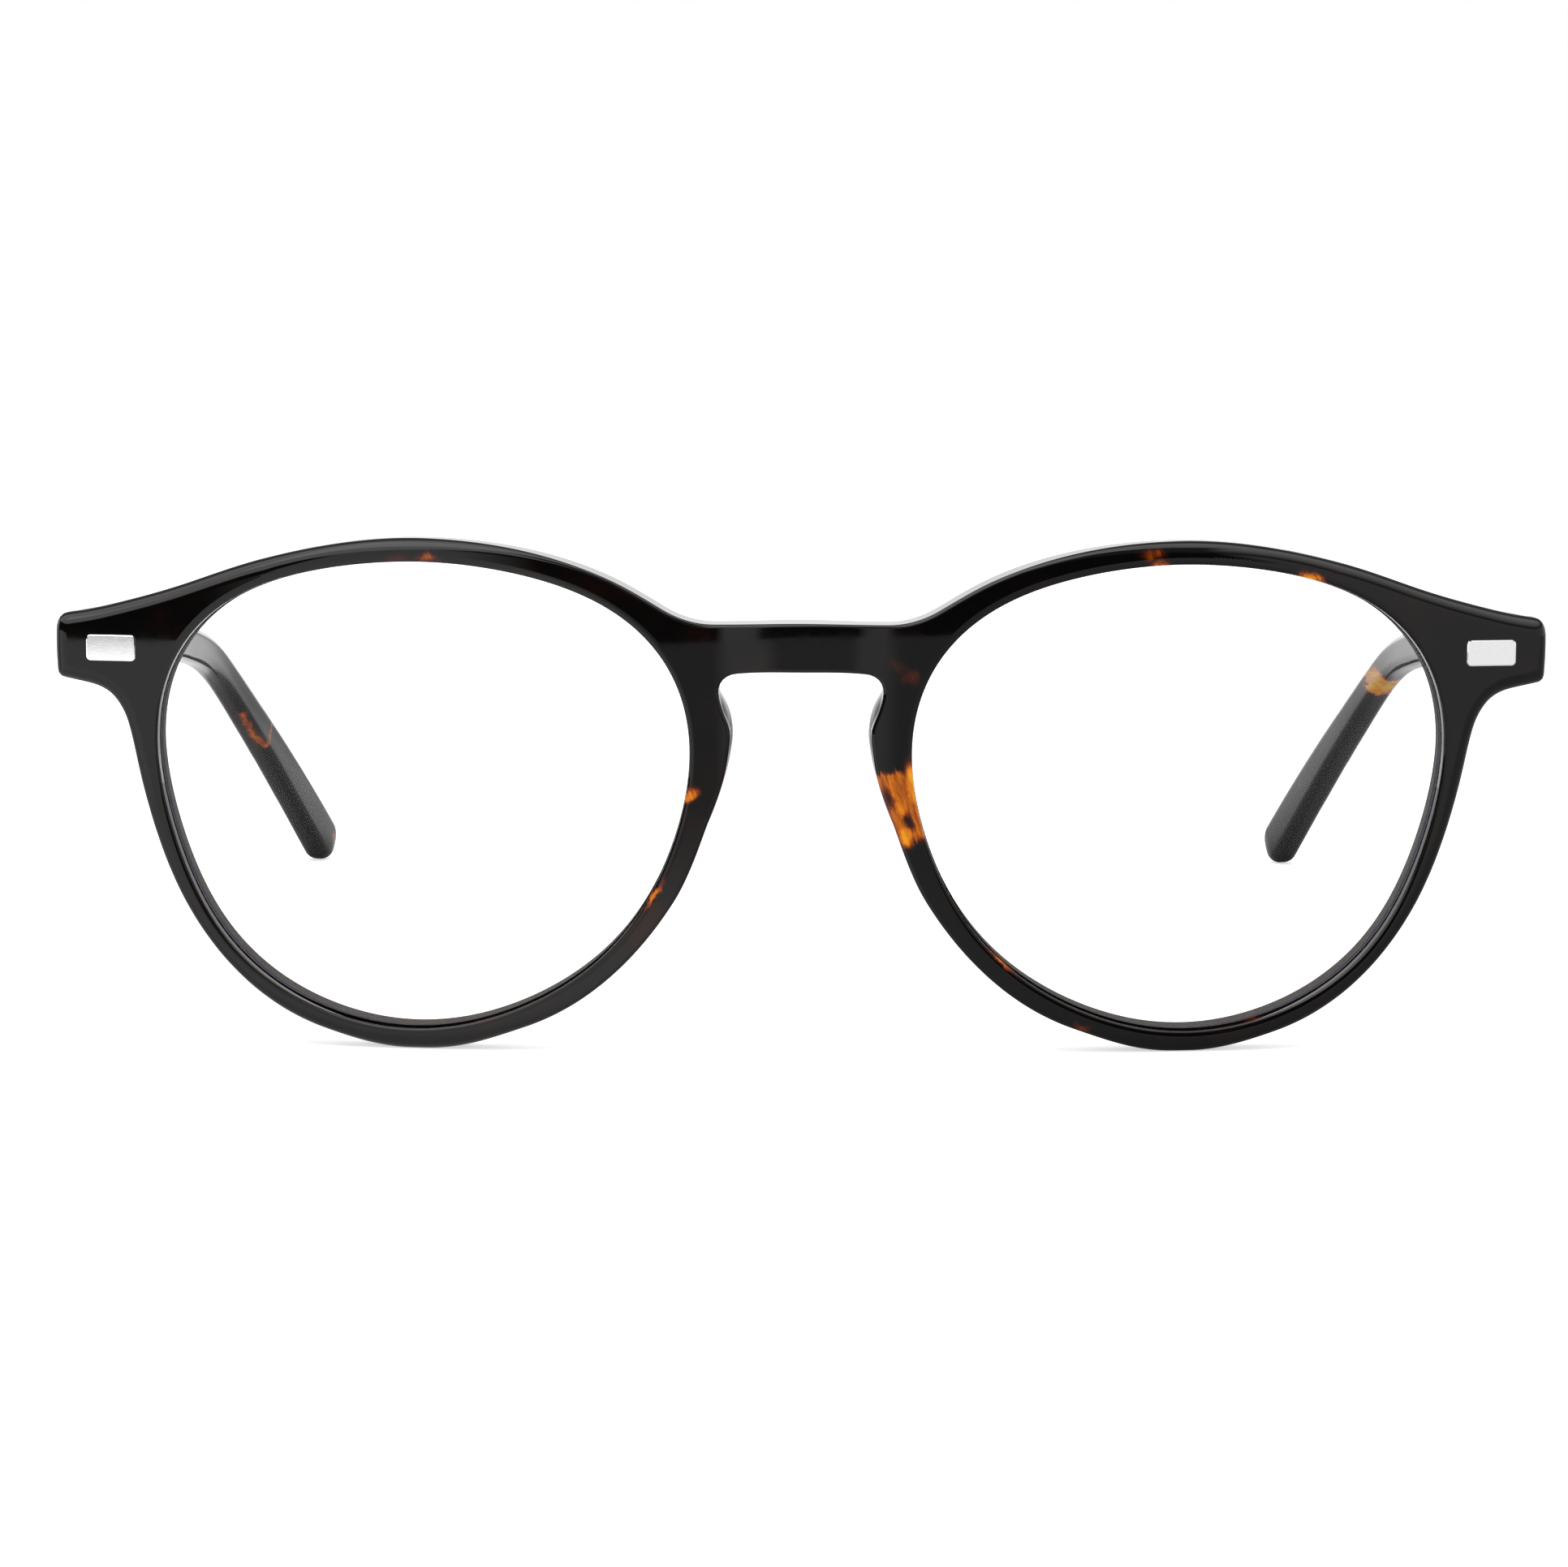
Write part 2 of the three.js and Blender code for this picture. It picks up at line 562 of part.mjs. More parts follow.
function coreGeometry() {
  return coreBar(CORE_START_SHARE, CORE_END_SHARE, CORE_THICKNESS, CORE_HEIGHT);
}

// Everything in front of the butt face, which lies along the back of the endpiece
function buttCutter() {
  const size = 8 * TEMPLE_THICKNESS;
  const block = new THREE.BoxGeometry(size, size, size);
  return onEndpiece(block, 1, HINGE_AT, HALF_SHEET + BUTT_GAP - size / 2, HINGE_Z);
}

function templeGeometry() {
  const channel = coreBar(0, CORE_END_SHARE, CORE_THICKNESS + 2 * CORE_GAP, CORE_HEIGHT + 2 * CORE_GAP);
  const cutters = [buttCutter(), channel, templePlateBlock(INLAY_GAP)];
  const bar = solidOf(templeBar());
  return geometryOf(cutters.reduce((temple, cutter) => temple.subtract(solidOf(cutter)), bar));
}

function named(name, geometry, material) {
  const mesh = new THREE.Mesh(geometry, material);
  mesh.name = name;
  return mesh;
}

const sidePieces = [
  ['lens', lensGeometry(1), lensClear],
  ['nose_pad', padGeometry(), padAcetate],
  ['plaque', plaqueGeometry(), polished],
  ['hinge_front', frontHingeGeometry(), nickelSilver],
  ['hinge_temple', templeHingeGeometry(), nickelSilver],
  ['hinge_screw', screwGeometry(), polished],
  ['temple', templeGeometry(), acetate],
  ['temple_core', coreGeometry(), coreSteel],
];

const eyeglasses = new THREE.Group();
eyeglasses.add(named('front_frame', frontGeometry(), acetate));
for (const [sideName, mirror] of [['left', 1], ['right', -1]]) {
  const sideGroup = new THREE.Group();
  sideGroup.scale.x = mirror;
  for (const [piece, geometry, material] of sidePieces) {
    sideGroup.add(named(`${piece}_${sideName}`, geometry, material));
  }
  eyeglasses.add(sideGroup);
}

// The origin is on the table, under the middle of the whole
const box = new THREE.Box3().setFromObject(eyeglasses);
eyeglasses.position.y = -(box.min.y + box.max.y) / 2;

export default eyeglasses;
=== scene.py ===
import math

import bpy
import numpy as np
from mathutils.geometry import delaunay_2d_cdt
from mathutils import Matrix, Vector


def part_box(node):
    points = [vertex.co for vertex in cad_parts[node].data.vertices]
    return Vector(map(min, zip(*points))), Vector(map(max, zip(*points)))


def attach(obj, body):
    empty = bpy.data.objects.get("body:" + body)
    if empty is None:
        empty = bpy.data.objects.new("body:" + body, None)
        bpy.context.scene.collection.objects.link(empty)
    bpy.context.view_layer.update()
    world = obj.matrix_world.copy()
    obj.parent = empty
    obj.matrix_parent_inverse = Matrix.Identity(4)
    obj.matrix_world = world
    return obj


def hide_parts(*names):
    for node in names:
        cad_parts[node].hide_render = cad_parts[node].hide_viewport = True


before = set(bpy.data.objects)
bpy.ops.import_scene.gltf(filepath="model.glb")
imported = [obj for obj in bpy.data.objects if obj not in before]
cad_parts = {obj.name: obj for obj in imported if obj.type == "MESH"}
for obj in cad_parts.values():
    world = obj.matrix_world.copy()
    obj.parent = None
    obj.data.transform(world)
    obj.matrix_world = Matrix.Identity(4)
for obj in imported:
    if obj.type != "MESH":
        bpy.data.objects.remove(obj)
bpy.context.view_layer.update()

# Round tortoise eyeglasses: smooth acetate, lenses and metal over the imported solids.
# Shapes are in millimetres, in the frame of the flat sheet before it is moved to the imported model's place.
MM = 0.001

# Front sheet, bent back round a large radius, with straight endpieces
SHEET_THICKNESS = 4.2
HALF_SHEET = SHEET_THICKNESS / 2
BEND_RADIUS = 270
BEND_HALF_LENGTH = 50
BEND_ANGLE = BEND_HALF_LENGTH / BEND_RADIUS
BRIDGE_SWELL = 1.0
BRIDGE_SWELL_REACH = 6

# Edges of the front: crisp at the nose and round further out, with a gentle roll round the lens openings
OUTER_ROUND = 1.4
OUTER_ROUND_FROM = 37
NASAL_ROUND = 0.35
NASAL_ROUND_TO = 20
ROUND_ANGLES = np.radians([90, 75, 60, 45, 30, 15, 0])
ROUND_SLACK = 0.02
RIM_FLAT = 0.1
OPENING_ROUND = 0.25
OPENING_ROLL = 0.5
ROLL_TILT = math.radians(9)
ROLL_SHARES = (0.25, 0.5, 0.75, 1)
OPENING_DRAFT = 0.13
REAR_LIP = 0.5
REAR_LIP_DEPTH = 1.1

# Half of the front's outline, from the top of the bridge round to its underside: x, z and heading in degrees
HALF_OUTLINE = [
    (0, 39.8, 0), (8, 39.7, 0), (12.65, 41.05, 31), (17.65, 43.8, 24),
    (34.85, 47.3, 1), (50.05, 45.1, -15), (57, 42.8, -19), (64.6, 40.6, -14),
    (68.55, 39.85, -8), (69.6, 38.35, -88), (69.5, 34.5, -94), (68.85, 33.75, -169),
    (66.35, 33.25, -168), (64, 32, -131), (62.75, 29.7, -107), (61.4, 24.1, -106),
    (56.6, 12.2, -122), (44.1, 1.7, -162), (36, 0, 180), (34.2, 0, 180),
    (25.2, 2.2, 160), (11.6, 13.95, 122), (8.55, 21.05, 110), (6.66, 27.2, 97),
    (6.42, 29.6, 90), (7.1, 31.8, 72), (7.5, 33.6, 90), (5.95, 35.15, 174), (0, 35.3, 180),
]
OUTLINE_SPACING = 0.45
STRETCH_POINTS = 40
FILL_SPACING = 1.1
FILL_MARGIN = 0.5
SAME_POINT = 1e-6

# Lens opening: radii at even angles round the lens centre, from the temple side upwards
LENS_X = 34.8
LENS_Z = 23.6
LENS_RADII = (24.3, 26.15, 23.35, 21.55, 22.95, 25.6, 24.25, 22.55, 21.55, 21.55, 22.15, 22.95)
LENS_POINTS = 300
LENS_THICKNESS = 2
LENS_DOME = 1.5
LENS_RINGS = 14
LENS_CENTRE_SHARE = 0.06
LENS_GAP = 0.05
LENS_SHARP = 25
BEVEL_HEIGHT = 0.45
BEVEL_HALF_WIDTH = 0.6
GROOVE_DEPTH = 0.6
GROOVE_HALF_WIDTH = 0.8
SAME_ANGLE = 1e-9

# Nose pads: height above the table and the distance of the crest from the middle of the nose
PAD_CREST = [(18.6, 9.75), (21, 8.55), (24.5, 7.25), (27.2, 6.55), (29.8, 6.3), (31.9, 6.8), (33.3, 7.55)]
PAD_RINGS = 40
PAD_POINTS = 24
PAD_EDGE_POINTS = 8
PAD_DEPTH = 4.6
PAD_LENS_MARGIN = 1
PAD_LEAST_WIDTH = 0.3
PAD_GLUE = 0.1
PAD_FRONT = -0.8
PAD_SETBACK = 0.8
PAD_FRONT_ROUND = 2.6
PAD_FRONT_REACH = 0.7
PAD_END_SHARE = 0.002
PAD_SHARP = 60

# Plaques in the endpieces
PLAQUE_AT = 64
PLAQUE_Z = 36.7
PLAQUE_LENGTH = 4.75
PLAQUE_HEIGHT = 2.45
PLAQUE_CORNER = 0.45
PLAQUE_PROUD = 0.15
PLAQUE_SUNK = 0.6
PLAQUE_EDGE = 0.12
PLAQUE_EDGE_BULGE = 0.3
PLAQUE_SHARP = 15

# Five-barrel hinges, three barrels on the front and two on the temple
HINGE_AT = 63.9
HINGE_Z = 36.6
HINGE_STANDOFF = 1.9
HINGE_SHARP = 28
BARRELS = 5
BARREL_RADIUS = 1.3
BARREL_HEIGHT = 0.92
BARREL_GAP = 0.1
HINGE_HEIGHT = BARRELS * BARREL_HEIGHT + (BARRELS - 1) * BARREL_GAP
BARREL_POINTS = 48
BARREL_EDGE = 0.07
BORE_RADIUS = 0.75
FRONT_PLATE_START = 61.2
FRONT_PLATE_END = 66.6
FRONT_PLATE_PROUD = 0.12
TEMPLE_PLATE_LENGTH = 9.4
TEMPLE_PLATE_HEIGHT = 4.2
TEMPLE_PLATE_PROUD = 0.25
TEMPLE_WEB_FRONT = 0.95
PLATE_CORNER = 0.6
PLATE_EDGE = 0.1
PLATE_SUNK = 0.5
SCREW_RADIUS = 0.62
SCREW_HEAD_RADIUS = 1.15
SCREW_HEAD_HEIGHT = 0.6
SCREW_SLOT = 0.3
SCREW_END = 0.4
SCREW_EDGE = 0.12

# Temples: centreline of the left one, from the butt end at the hinge to the tip on the table
TEMPLE_LINE = [
    (67.1, 8.5, 36.9), (66.5, 50, 32.9), (65.3, 88, 29.2), (63.6, 106, 25.2),
    (60.3, 119, 17), (56.8, 130.5, 8.1), (54, 138.8, 0.89),
]
TEMPLE_THICKNESS = 4.2
TEMPLE_TIP_THICKNESS = 2.9
TEMPLE_HEIGHT = 5.4
TEMPLE_BEND_HEIGHT = 3.4
TEMPLE_TIP_HEIGHT = 4.8
TEMPLE_BEND_SHARE = 0.72
TEMPLE_CORNER = 1.1
TEMPLE_RINGS = 150
TEMPLE_SHARP = 40
TANGENT_STEP = 0.01
TIP_ROUND_SHARE = 0.018
TIP_ROUND_STEPS = 14
TIP_EDGE_SHARE = 0.45
BUTT_GAP = 0.3
BUTT_CHAMFER = 0.25
CORNER_POINTS = 7

# Amber patches of the front: x, z, half length, half width, tilt in degrees and strength, below 0 if dark
FRONT_PATCHES = [
    (9.2, 23.0, 7, 3.95, 0, 0.72),
    (10.3, 24.8, 3.6, 1.25, 97, 1.0),
    (9.0, 23.0, 4.4, 1.1, 112, 0.92),
    (9.6, 20.3, 1.9, 1.3, 120, 0.9),
    (7.9, 23.8, 1.6, 1.0, 115, -0.4),
    (9.95, 21.6, 1.6, 0.8, 105, -0.62),
    (-10.0, 24.0, 1.5, 1.15, 35, 0.86),
    (10.0, 34.9, 1.5, 1.25, 0, 0.37),
    (8.8, 35.9, 2.8, 1.1, -35, 0.25),
    (32.2, 46.1, 1.9, 1.2, 0, 0.47),
    (32.9, 45.1, 1.8, 0.8, 0, 0.72),
    (46.8, 43.8, 2.4, 0.95, -18, 1.0),
    (-34.3, 45.5, 2.1, 0.8, 0, 0.6),
    (-37.0, 45.4, 2.6, 0.8, 8, 0.35),
    (-13.4, 14.7, 2.8, 0.6, 59, 0.95),
    (18.3, 9.0, 3.6, 0.6, -46, 0.8),
    (-43.9, 4.4, 1.8, 0.7, -25, 0.5),
    (26.0, 2.3, 1.5, 0.8, -15, 0.5),
    (41.9, 3.2, 1.7, 0.7, 20, 0.5),
]
PATCH_HALF_DEPTH = 3 * SHEET_THICKNESS

# Amber patches of the temples: middle and half sizes, and strength
LEFT_TEMPLE_PATCHES = [
    ((62.6, 106.6, 23.6), (4, 6, 2.7), 0.92),
    ((63.2, 102.5, 25.0), (0.7, 5, 1.5), -0.45),
    ((56.0, 128, 10.1), (0.9, 1.6, 1.2), 0.4),
    ((66.7, 38, 33.2), (5, 12, 2.3), 0.74),
    ((67.0, 20, 36.6), (5, 7, 1.5), 0.5),
]
RIGHT_TEMPLE_PATCHES = [
    ((-53.0, 137.5, 2.6), (0.7, 2.0, 1.8), 0.6),
    ((-66.4, 60, 32.6), (5, 13, 2.3), 0.74),
    ((-66.8, 30, 34.2), (5, 7, 1.6), 0.5),
]

# A hooked amber streak on the right temple, by a few places on its way
RIGHT_TEMPLE_STREAK = [(-61.1, 113.4, 18.9), (-60.5, 116, 16.8), (-59.1, 119.2, 14.8), (-58.5, 119.9, 17)]
STREAK_PATCHES = 16
STREAK_HALF_WIDTH = 1.0
STREAK_STRENGTH = 0.66

# Colours from dark acetate to full amber
AMBER_STOPS = [
    (0.0, (0.0022, 0.0019, 0.0018)),
    (0.16, (0.008, 0.0032, 0.0024)),
    (0.34, (0.05, 0.008, 0.0024)),
    (0.54, (0.28, 0.052, 0.003)),
    (0.76, (0.78, 0.2, 0.005)),
    (1.0, (1.0, 0.42, 0.01)),
]
TEMPLE_AMBER_STOPS = AMBER_STOPS[:4] + [(0.76, (0.5, 0.17, 0.004)), (1.0, (0.55, 0.33, 0.01))]

# Gloss, softness of a patch's edge, how close the streaks lie in each direction and how far they fray a patch
FRONT_LOOK = {
    "gloss": 0.32, "softness": 0.95, "streaks": (2.6, 1.2, 0.35), "fray": (0, 0, 1.6),
    "amber": AMBER_STOPS,
}
TEMPLE_LOOK = {
    "gloss": 0.5, "softness": 1.8, "streaks": (1.2, 0.22, 2.2), "fray": (0, 9, 0),
    "amber": TEMPLE_AMBER_STOPS,
}
PATCH_WANDER = (1, 1, 1)
FRAYED_FROM = 2
STREAK_TILT = 18

# Noise of the surfaces: scale to a millimetre, detail and roughness
WANDER_NOISE = (0.9, 2, 0.5)
FRAY_NOISE = (1, 2, 0.5)
STREAK_NOISE = (1, 4, 0.6)
MOTTLE_NOISE = (0.12, 3, 0.5)
POLISH_NOISE = (0.8, 2, 0.5)
MILL_NOISE = (6, 3, 0.5)
LENS_NOISE = (0.05, 1, 0.5)
TOOL_NOISE = (4, 3, 0.5)
NOISE_MIDDLE = (0.5, 0.5, 0.5)
NOISE_LOW = 0.2
NOISE_HIGH = 0.8

# What the noise is spread to: its limits and the levels there, or the levels alone
STREAK_RANGE = (0.32, 0.68, 0.78, 1.1)
MOTTLE_RANGE = (0.5, 0.8, 0, 0.2)
POLISH_ROUGHNESS = (0.012, 0.03)
MILL_ROUGHNESS = (0.5, 0.65)
TOOL_ROUGHNESS = (0.8, 1.2)

# Acetate, its milled grooves and the lenses
ACETATE_IOR = 1.49
MATT_GLOSS = 0.1
GROOVE_COLOUR = (0.09, 0.083, 0.076)
# The lens edge is unpolished; its dark grey is painted shade of the groove that it sits in
LENS_EDGE_SHADE_COLOUR = (0.068, 0.066, 0.084)
MARKS_DARK_AT = 0.3
MARKS_LIGHT_AT = 0.7
MILL_LIGHTER = 1.8
LENS_IOR = 1.5
LENS_CAST = (0.99, 0.99, 0.985)
LENS_COATING = (0.05, 0.05, 0.055)

# Metals: colour, roughness and how close the tool marks lie in each direction
METALS = {
    "bright_plaque": ((0.98, 0.98, 0.98), 0.05, (1, 1, 8)),
    "nickel_silver": ((0.7, 0.68, 0.62), 0.25, (1, 1, 8)),
    "screw_steel": ((0.75, 0.75, 0.76), 0.2, (8, 8, 1)),
    "core_steel": ((0.66, 0.67, 0.68), 0.35, (1, 8, 1)),
}
TOOL_DARKER = 0.88
TOOL_BUMP = 0.1
TOOL_DEPTH = 0.1

# White table in metres, which ends in front of the object; ranges hold two limits and the levels there
TABLE_FRONT = -0.48
TABLE_CORNER = -0.24
TABLE_SIDE = 0.9
TABLE_BACK = 3
TABLE_NOISE = (3, 2, 0.5)
TABLE_SHADE_RANGE = (0, 1, 0.89, 0.91)
TABLE_ROUGHNESS = 0.8
FILL_RANGE = (0.12, 0.45, 0.6, 1)
GLOSS_SHADE_RANGE = (0, 1, 1, 0.5)
WHITE = (1, 1, 1, 1)

# Light that gloss gets from the table: dim under the object and brighter past its tips
TABLE_SPREAD = 0.6
NEAR_TO = -0.12
NEAR_RANGE = (NEAR_TO, 0, 1, 0)
FAR_RANGE = (-0.28, NEAR_TO, 1, 0)
TIPS_RANGE = (0.07, 0.085, 0.03, 0.5)
LEFT_SHADE_RANGE = (0, 0.06, 1, 0.4)

# Levels of the far part of the table, by the way sideways over the way ahead, and of the near part, by x
FAR_TABLE = [
    (-0.3, 0.87), (-0.2, 0.05), (-0.08, 0.05), (-0.065, 0.6), (-0.035, 0.6), (-0.02, 0.1),
    (0.045, 0.1), (0.055, 0.55), (0.075, 0.5), (0.09, 0.05), (0.2, 0.08), (0.45, 0.45),
]
NEAR_TABLE = [(-0.03, 1.05), (-0.012, 0.85), (0.012, 0.35), (0.03, 0.12)]

# Levels of the dark room beyond the table, by the sideways part of a direction
ROOM_FRONT = [
    (-0.445, 0.02), (-0.425, 1.25), (-0.28, 1.25), (-0.22, 0.02), (-0.07, 0.02), (-0.063, 1.1), (-0.04, 1.1),
    (-0.03, 0.02), (0.05, 0.02), (0.056, 1.0), (0.07, 1.0), (0.078, 0.02), (0.35, 0.02), (0.4, 0.93),
]

# Light in the room, unseen and seen, and by one part of a direction: two limits and the levels there
ROOM_RANGE = (0, 1, 0.8, 1)
FRONT_RANGE = (0.2, 0.5, 1, 0)
DARK_RANGE = (0.3, 0.42, 1, 0)
BEHIND_RANGE = (0.2, 0.35, 1.3, 0.3)
SOFTBOX_LEVEL = 2.6
SOFTBOX_LEFT_RANGE = (-0.08, 0.05, 1, 0)
OVERHEAD_RANGE = (0.84, 0.93, 0.25, SOFTBOX_LEVEL)
FAR_RIGHT_RANGE = (0.29, 0.37, 0, 1)
FAR_RIGHT_RISE = (0.35, 0.97, 0, SOFTBOX_LEVEL)
LAMP_PLACE = (-0.3, -0.4, 1.0)
LAMP_AIM = (0, 0, 0.02)
LAMP_ENERGY = 2.5
LAMP_SIZE = 0.7

# The photograph: its size, the picture point of the front's middle and its scale there
PHOTO_WIDTH = 1932
PHOTO_MIDDLE_X = 990
PHOTO_SCALE = 13.4
VIEW_DISTANCE = 590
VIEW_PITCH = math.radians(6.7)
VIEW_ROLL = math.radians(-0.22)
VIEW_HEIGHT = 24.9
VIEW_STARTS_AT = 0.05
SENSOR_WIDTH = 36

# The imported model's front starts at the middle of the bridge, half a sheet in front of the sheet's middle
SHIFT_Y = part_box("front_frame")[0][1] / MM + HALF_SHEET


def formed(x, depth, z):
    """Places in metres of flat-sheet points after the sheet is bent; depth runs from front to back."""
    bent = np.minimum(np.abs(x), BEND_HALF_LENGTH)
    straight = np.abs(x) - bent
    angle = bent / BEND_RADIUS
    across = BEND_RADIUS * np.sin(angle) + straight * np.cos(angle) - depth * np.sin(angle)
    back = BEND_RADIUS * (1 - np.cos(angle)) + straight * np.sin(angle) + depth * np.cos(angle)
    return np.stack(np.broadcast_arrays(np.sign(x) * across, back + SHIFT_Y, z), axis=-1) * MM


def formed_normals(x, sideways, backwards, upwards):
    """Directions on the flat sheet, turned as the bent sheet turns them."""
    angle = np.clip(x, -BEND_HALF_LENGTH, BEND_HALF_LENGTH) / BEND_RADIUS
    across = sideways * np.cos(angle) - backwards * np.sin(angle)
    back = sideways * np.sin(angle) + backwards * np.cos(angle)
    return np.stack([across, back, upwards], axis=-1)


def new_mesh(name, points, faces):
    mesh = bpy.data.meshes.new(name)
    mesh.from_pydata([tuple(point) for point in points], [], [tuple(face) for face in faces])
    return mesh


def add_object(name, data):
    added = bpy.data.objects.new(name, data)
    bpy.context.scene.collection.objects.link(added)
    return added


def new_piece(name, points, faces, body, replaced):
    """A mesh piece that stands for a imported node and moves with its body."""
    piece = add_object(name, new_mesh(name, points, faces))
    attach(piece, body)
    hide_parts(replaced)
    return piece


def smooth(piece, sharp_degrees):
    piece.data.shade_smooth()
    piece.data.set_sharp_from_angle(angle=math.radians(sharp_degrees))


def band_faces(bands, rings, sides):
    """Quads of the bands between rings that turn right-handed about the way they follow each other."""
    faces = []
    for band in range(bands):
        here, above = band * sides, (band + 1) % rings * sides
        for i in range(sides):
            j = (i + 1) % sides
            faces.append((here + i, here + j, above + j, above + i))
    return faces


def loft_faces(rings, sides):
    """The bands between rings, and both end faces."""
    last = (rings - 1) * sides
    ends = [tuple(reversed(range(sides))), tuple(range(last, last + sides))]
    return band_faces(rings - 1, rings, sides) + ends


def mirrored(points, side):
    """Points of the left side, or their mirror image for the right."""
    return points * np.array([side, 1, 1])


def side_piece(side, sharp_degrees, name, points, faces, body, replaced):
    """A smooth piece of the left side, or its mirror image for the right."""
    faces = faces if side > 0 else [tuple(reversed(face)) for face in faces]
    piece = new_piece(name, mirrored(points, side), faces, body, replaced)
    smooth(piece, sharp_degrees)
    return piece


def between(start, end, share):
    return start + (end - start) * share


def running_length(points):
    """Length of a line up to each of its points."""
    return np.concatenate([[0], np.cumsum(np.linalg.norm(np.diff(points, axis=0), axis=1))])


def places_along(points, running, wanted):
    """Places on a line at some of its running lengths."""
    return np.stack([np.interp(wanted, running, column) for column in points.T], axis=1)


# Front outline

def stretch(start, end):
    """Points of one outline stretch between two nodes, an arc where both headings fit one."""
    headings = np.radians([start[2], end[2]])
    turn = (headings[1] - headings[0] + math.pi) % (2 * math.pi) - math.pi
    first, last = np.array(start[:2]), np.array(end[:2])
    reach = np.hypot(*(last - first)) / (3 * math.cos(turn / 4) ** 2)
    leave = first + reach * np.array([math.cos(headings[0]), math.sin(headings[0])])
    arrive = last - reach * np.array([math.cos(headings[1]), math.sin(headings[1])])
    t = np.linspace(0, 1, STRETCH_POINTS, endpoint=False)[:, None]
    return (1 - t) ** 3 * first + 3 * (1 - t) ** 2 * t * leave + 3 * (1 - t) * t ** 2 * arrive + t ** 3 * last


def front_outline():
    """The whole outline at an even spacing, anticlockwise as seen from the front."""
    half = np.vstack([stretch(a, b) for a, b in zip(HALF_OUTLINE, HALF_OUTLINE[1:])])
    half = np.vstack([half, [HALF_OUTLINE[-1][:2]]])
    other = half[1:-1][::-1] * np.array([-1, 1])
    whole = np.vstack([half, other])[::-1]
    closed = np.vstack([whole, whole[:1]])
    running = running_length(closed)
    count = round(running[-1] / OUTLINE_SPACING)
    return places_along(closed, running, np.linspace(0, running[-1], count, endpoint=False))


def outward(points):
    """Unit normals that point out of an anticlockwise closed line."""
    along = np.roll(points, -1, axis=0) - np.roll(points, 1, axis=0)
    normals = np.stack([along[:, 1], -along[:, 0]], axis=1)
    return normals / np.hypot(*normals.T)[:, None]


def lens_radius(angle):
    """Radius of the lens opening at an angle, the smoothest closed curve through the traced radii."""
    count = len(LENS_RADII)
    radius = np.zeros_like(angle)
    for i, traced in enumerate(LENS_RADII):
        away = angle - 2 * math.pi * i / count
        half = np.tan(away / 2)
        near = np.abs(half) < SAME_ANGLE
        share = np.sin(count * away / 2) / (count * np.where(near, 1, half))
        radius += traced * np.where(near, 1, share)
    return radius


def lens_ring(side, share, grow):
    """Anticlockwise ring on the flat sheet at a share of the opening's radius, grown by a little."""
    angle = np.linspace(0, 2 * math.pi, LENS_POINTS, endpoint=False)
    radius = share * (lens_radius(angle) + grow)
    ring = np.stack([side * (LENS_X + radius * np.cos(angle)), LENS_Z + radius * np.sin(angle)], axis=1)
    return ring if side > 0 else ring[::-1]


def below(normals):
    """How much a wall of the opening faces up."""
    return np.clip(normals[:, 1], 0, 1)[:, None]


def opening_ring(side):
    """The front edge of an opening, drafted below."""
    ring = lens_ring(side, 1, 0)
    normals = -outward(ring)
    return ring - OPENING_DRAFT * below(normals) * normals


def distance_to(points, line):
    """Least distance of each point to the corners of a closed line."""
    return np.array([np.hypot(*(line - point).T).min() for point in points])


def inside(points, line):
    """Which points lie within a closed line."""
    x, z = points[:, 0][:, None], points[:, 1][:, None]
    x0, z0 = line[:, 0], line[:, 1]
    x1, z1 = np.roll(x0, -1), np.roll(z0, -1)
    spans = (z0 > z) != (z1 > z)
    rise = np.where(z1 == z0, 1, z1 - z0)
    crossing = x0 + (z - z0) * (x1 - x0) / rise
    return (np.sum(spans & (x < crossing), axis=1) % 2) == 1


def outer_round(ring, holes):
    """Radius of the outer edge, smaller towards the nose and where the rim is narrow."""
    share = (np.abs(ring[:, 0]) - NASAL_ROUND_TO) / (OUTER_ROUND_FROM - NASAL_ROUND_TO)
    radius = between(NASAL_ROUND, OUTER_ROUND, np.clip(share, 0, 1))
    rim = np.min([distance_to(ring, hole) for hole in holes], axis=0)
    return np.minimum(radius, rim - OPENING_ROUND - OPENING_ROLL - RIM_FLAT)


def outer_rows(ring, radius):
    """Rows of the rounded outer edge: flat place, drop from the face, tilt and outward direction."""
    normals = outward(ring)
    rows = []
    for tilt in ROUND_ANGLES:
        place = ring - normals * (radius * (1 - math.sin(tilt)))[:, None]
        rows.append((place, radius * (1 - math.cos(tilt)), np.full(len(ring), tilt), normals))
    return rows


def opening_rows(ring):
    """Rows of an opening's edge: a tight round, then a gentle roll up to the flat of the face."""
    normals = -outward(ring)
    start = OPENING_ROUND * (1 - math.sin(ROLL_TILT))
    rise = OPENING_ROLL * math.tan(ROLL_TILT) / 2
    profile = []
    for tilt in np.linspace(math.pi / 2, ROLL_TILT, len(ROUND_ANGLES)):
        drop = OPENING_ROUND * (math.cos(ROLL_TILT) - math.cos(tilt)) + rise
        profile.append((OPENING_ROUND * (1 - math.sin(tilt)), drop, tilt))
    for share in ROLL_SHARES:
        profile.append((start + share * OPENING_ROLL, rise * (1 - share) ** 2, ROLL_TILT * (1 - share)))
    count = len(ring)
    return [(ring - inset * normals, np.full(count, drop), np.full(count, tilt), normals)
            for inset, drop, tilt in profile]


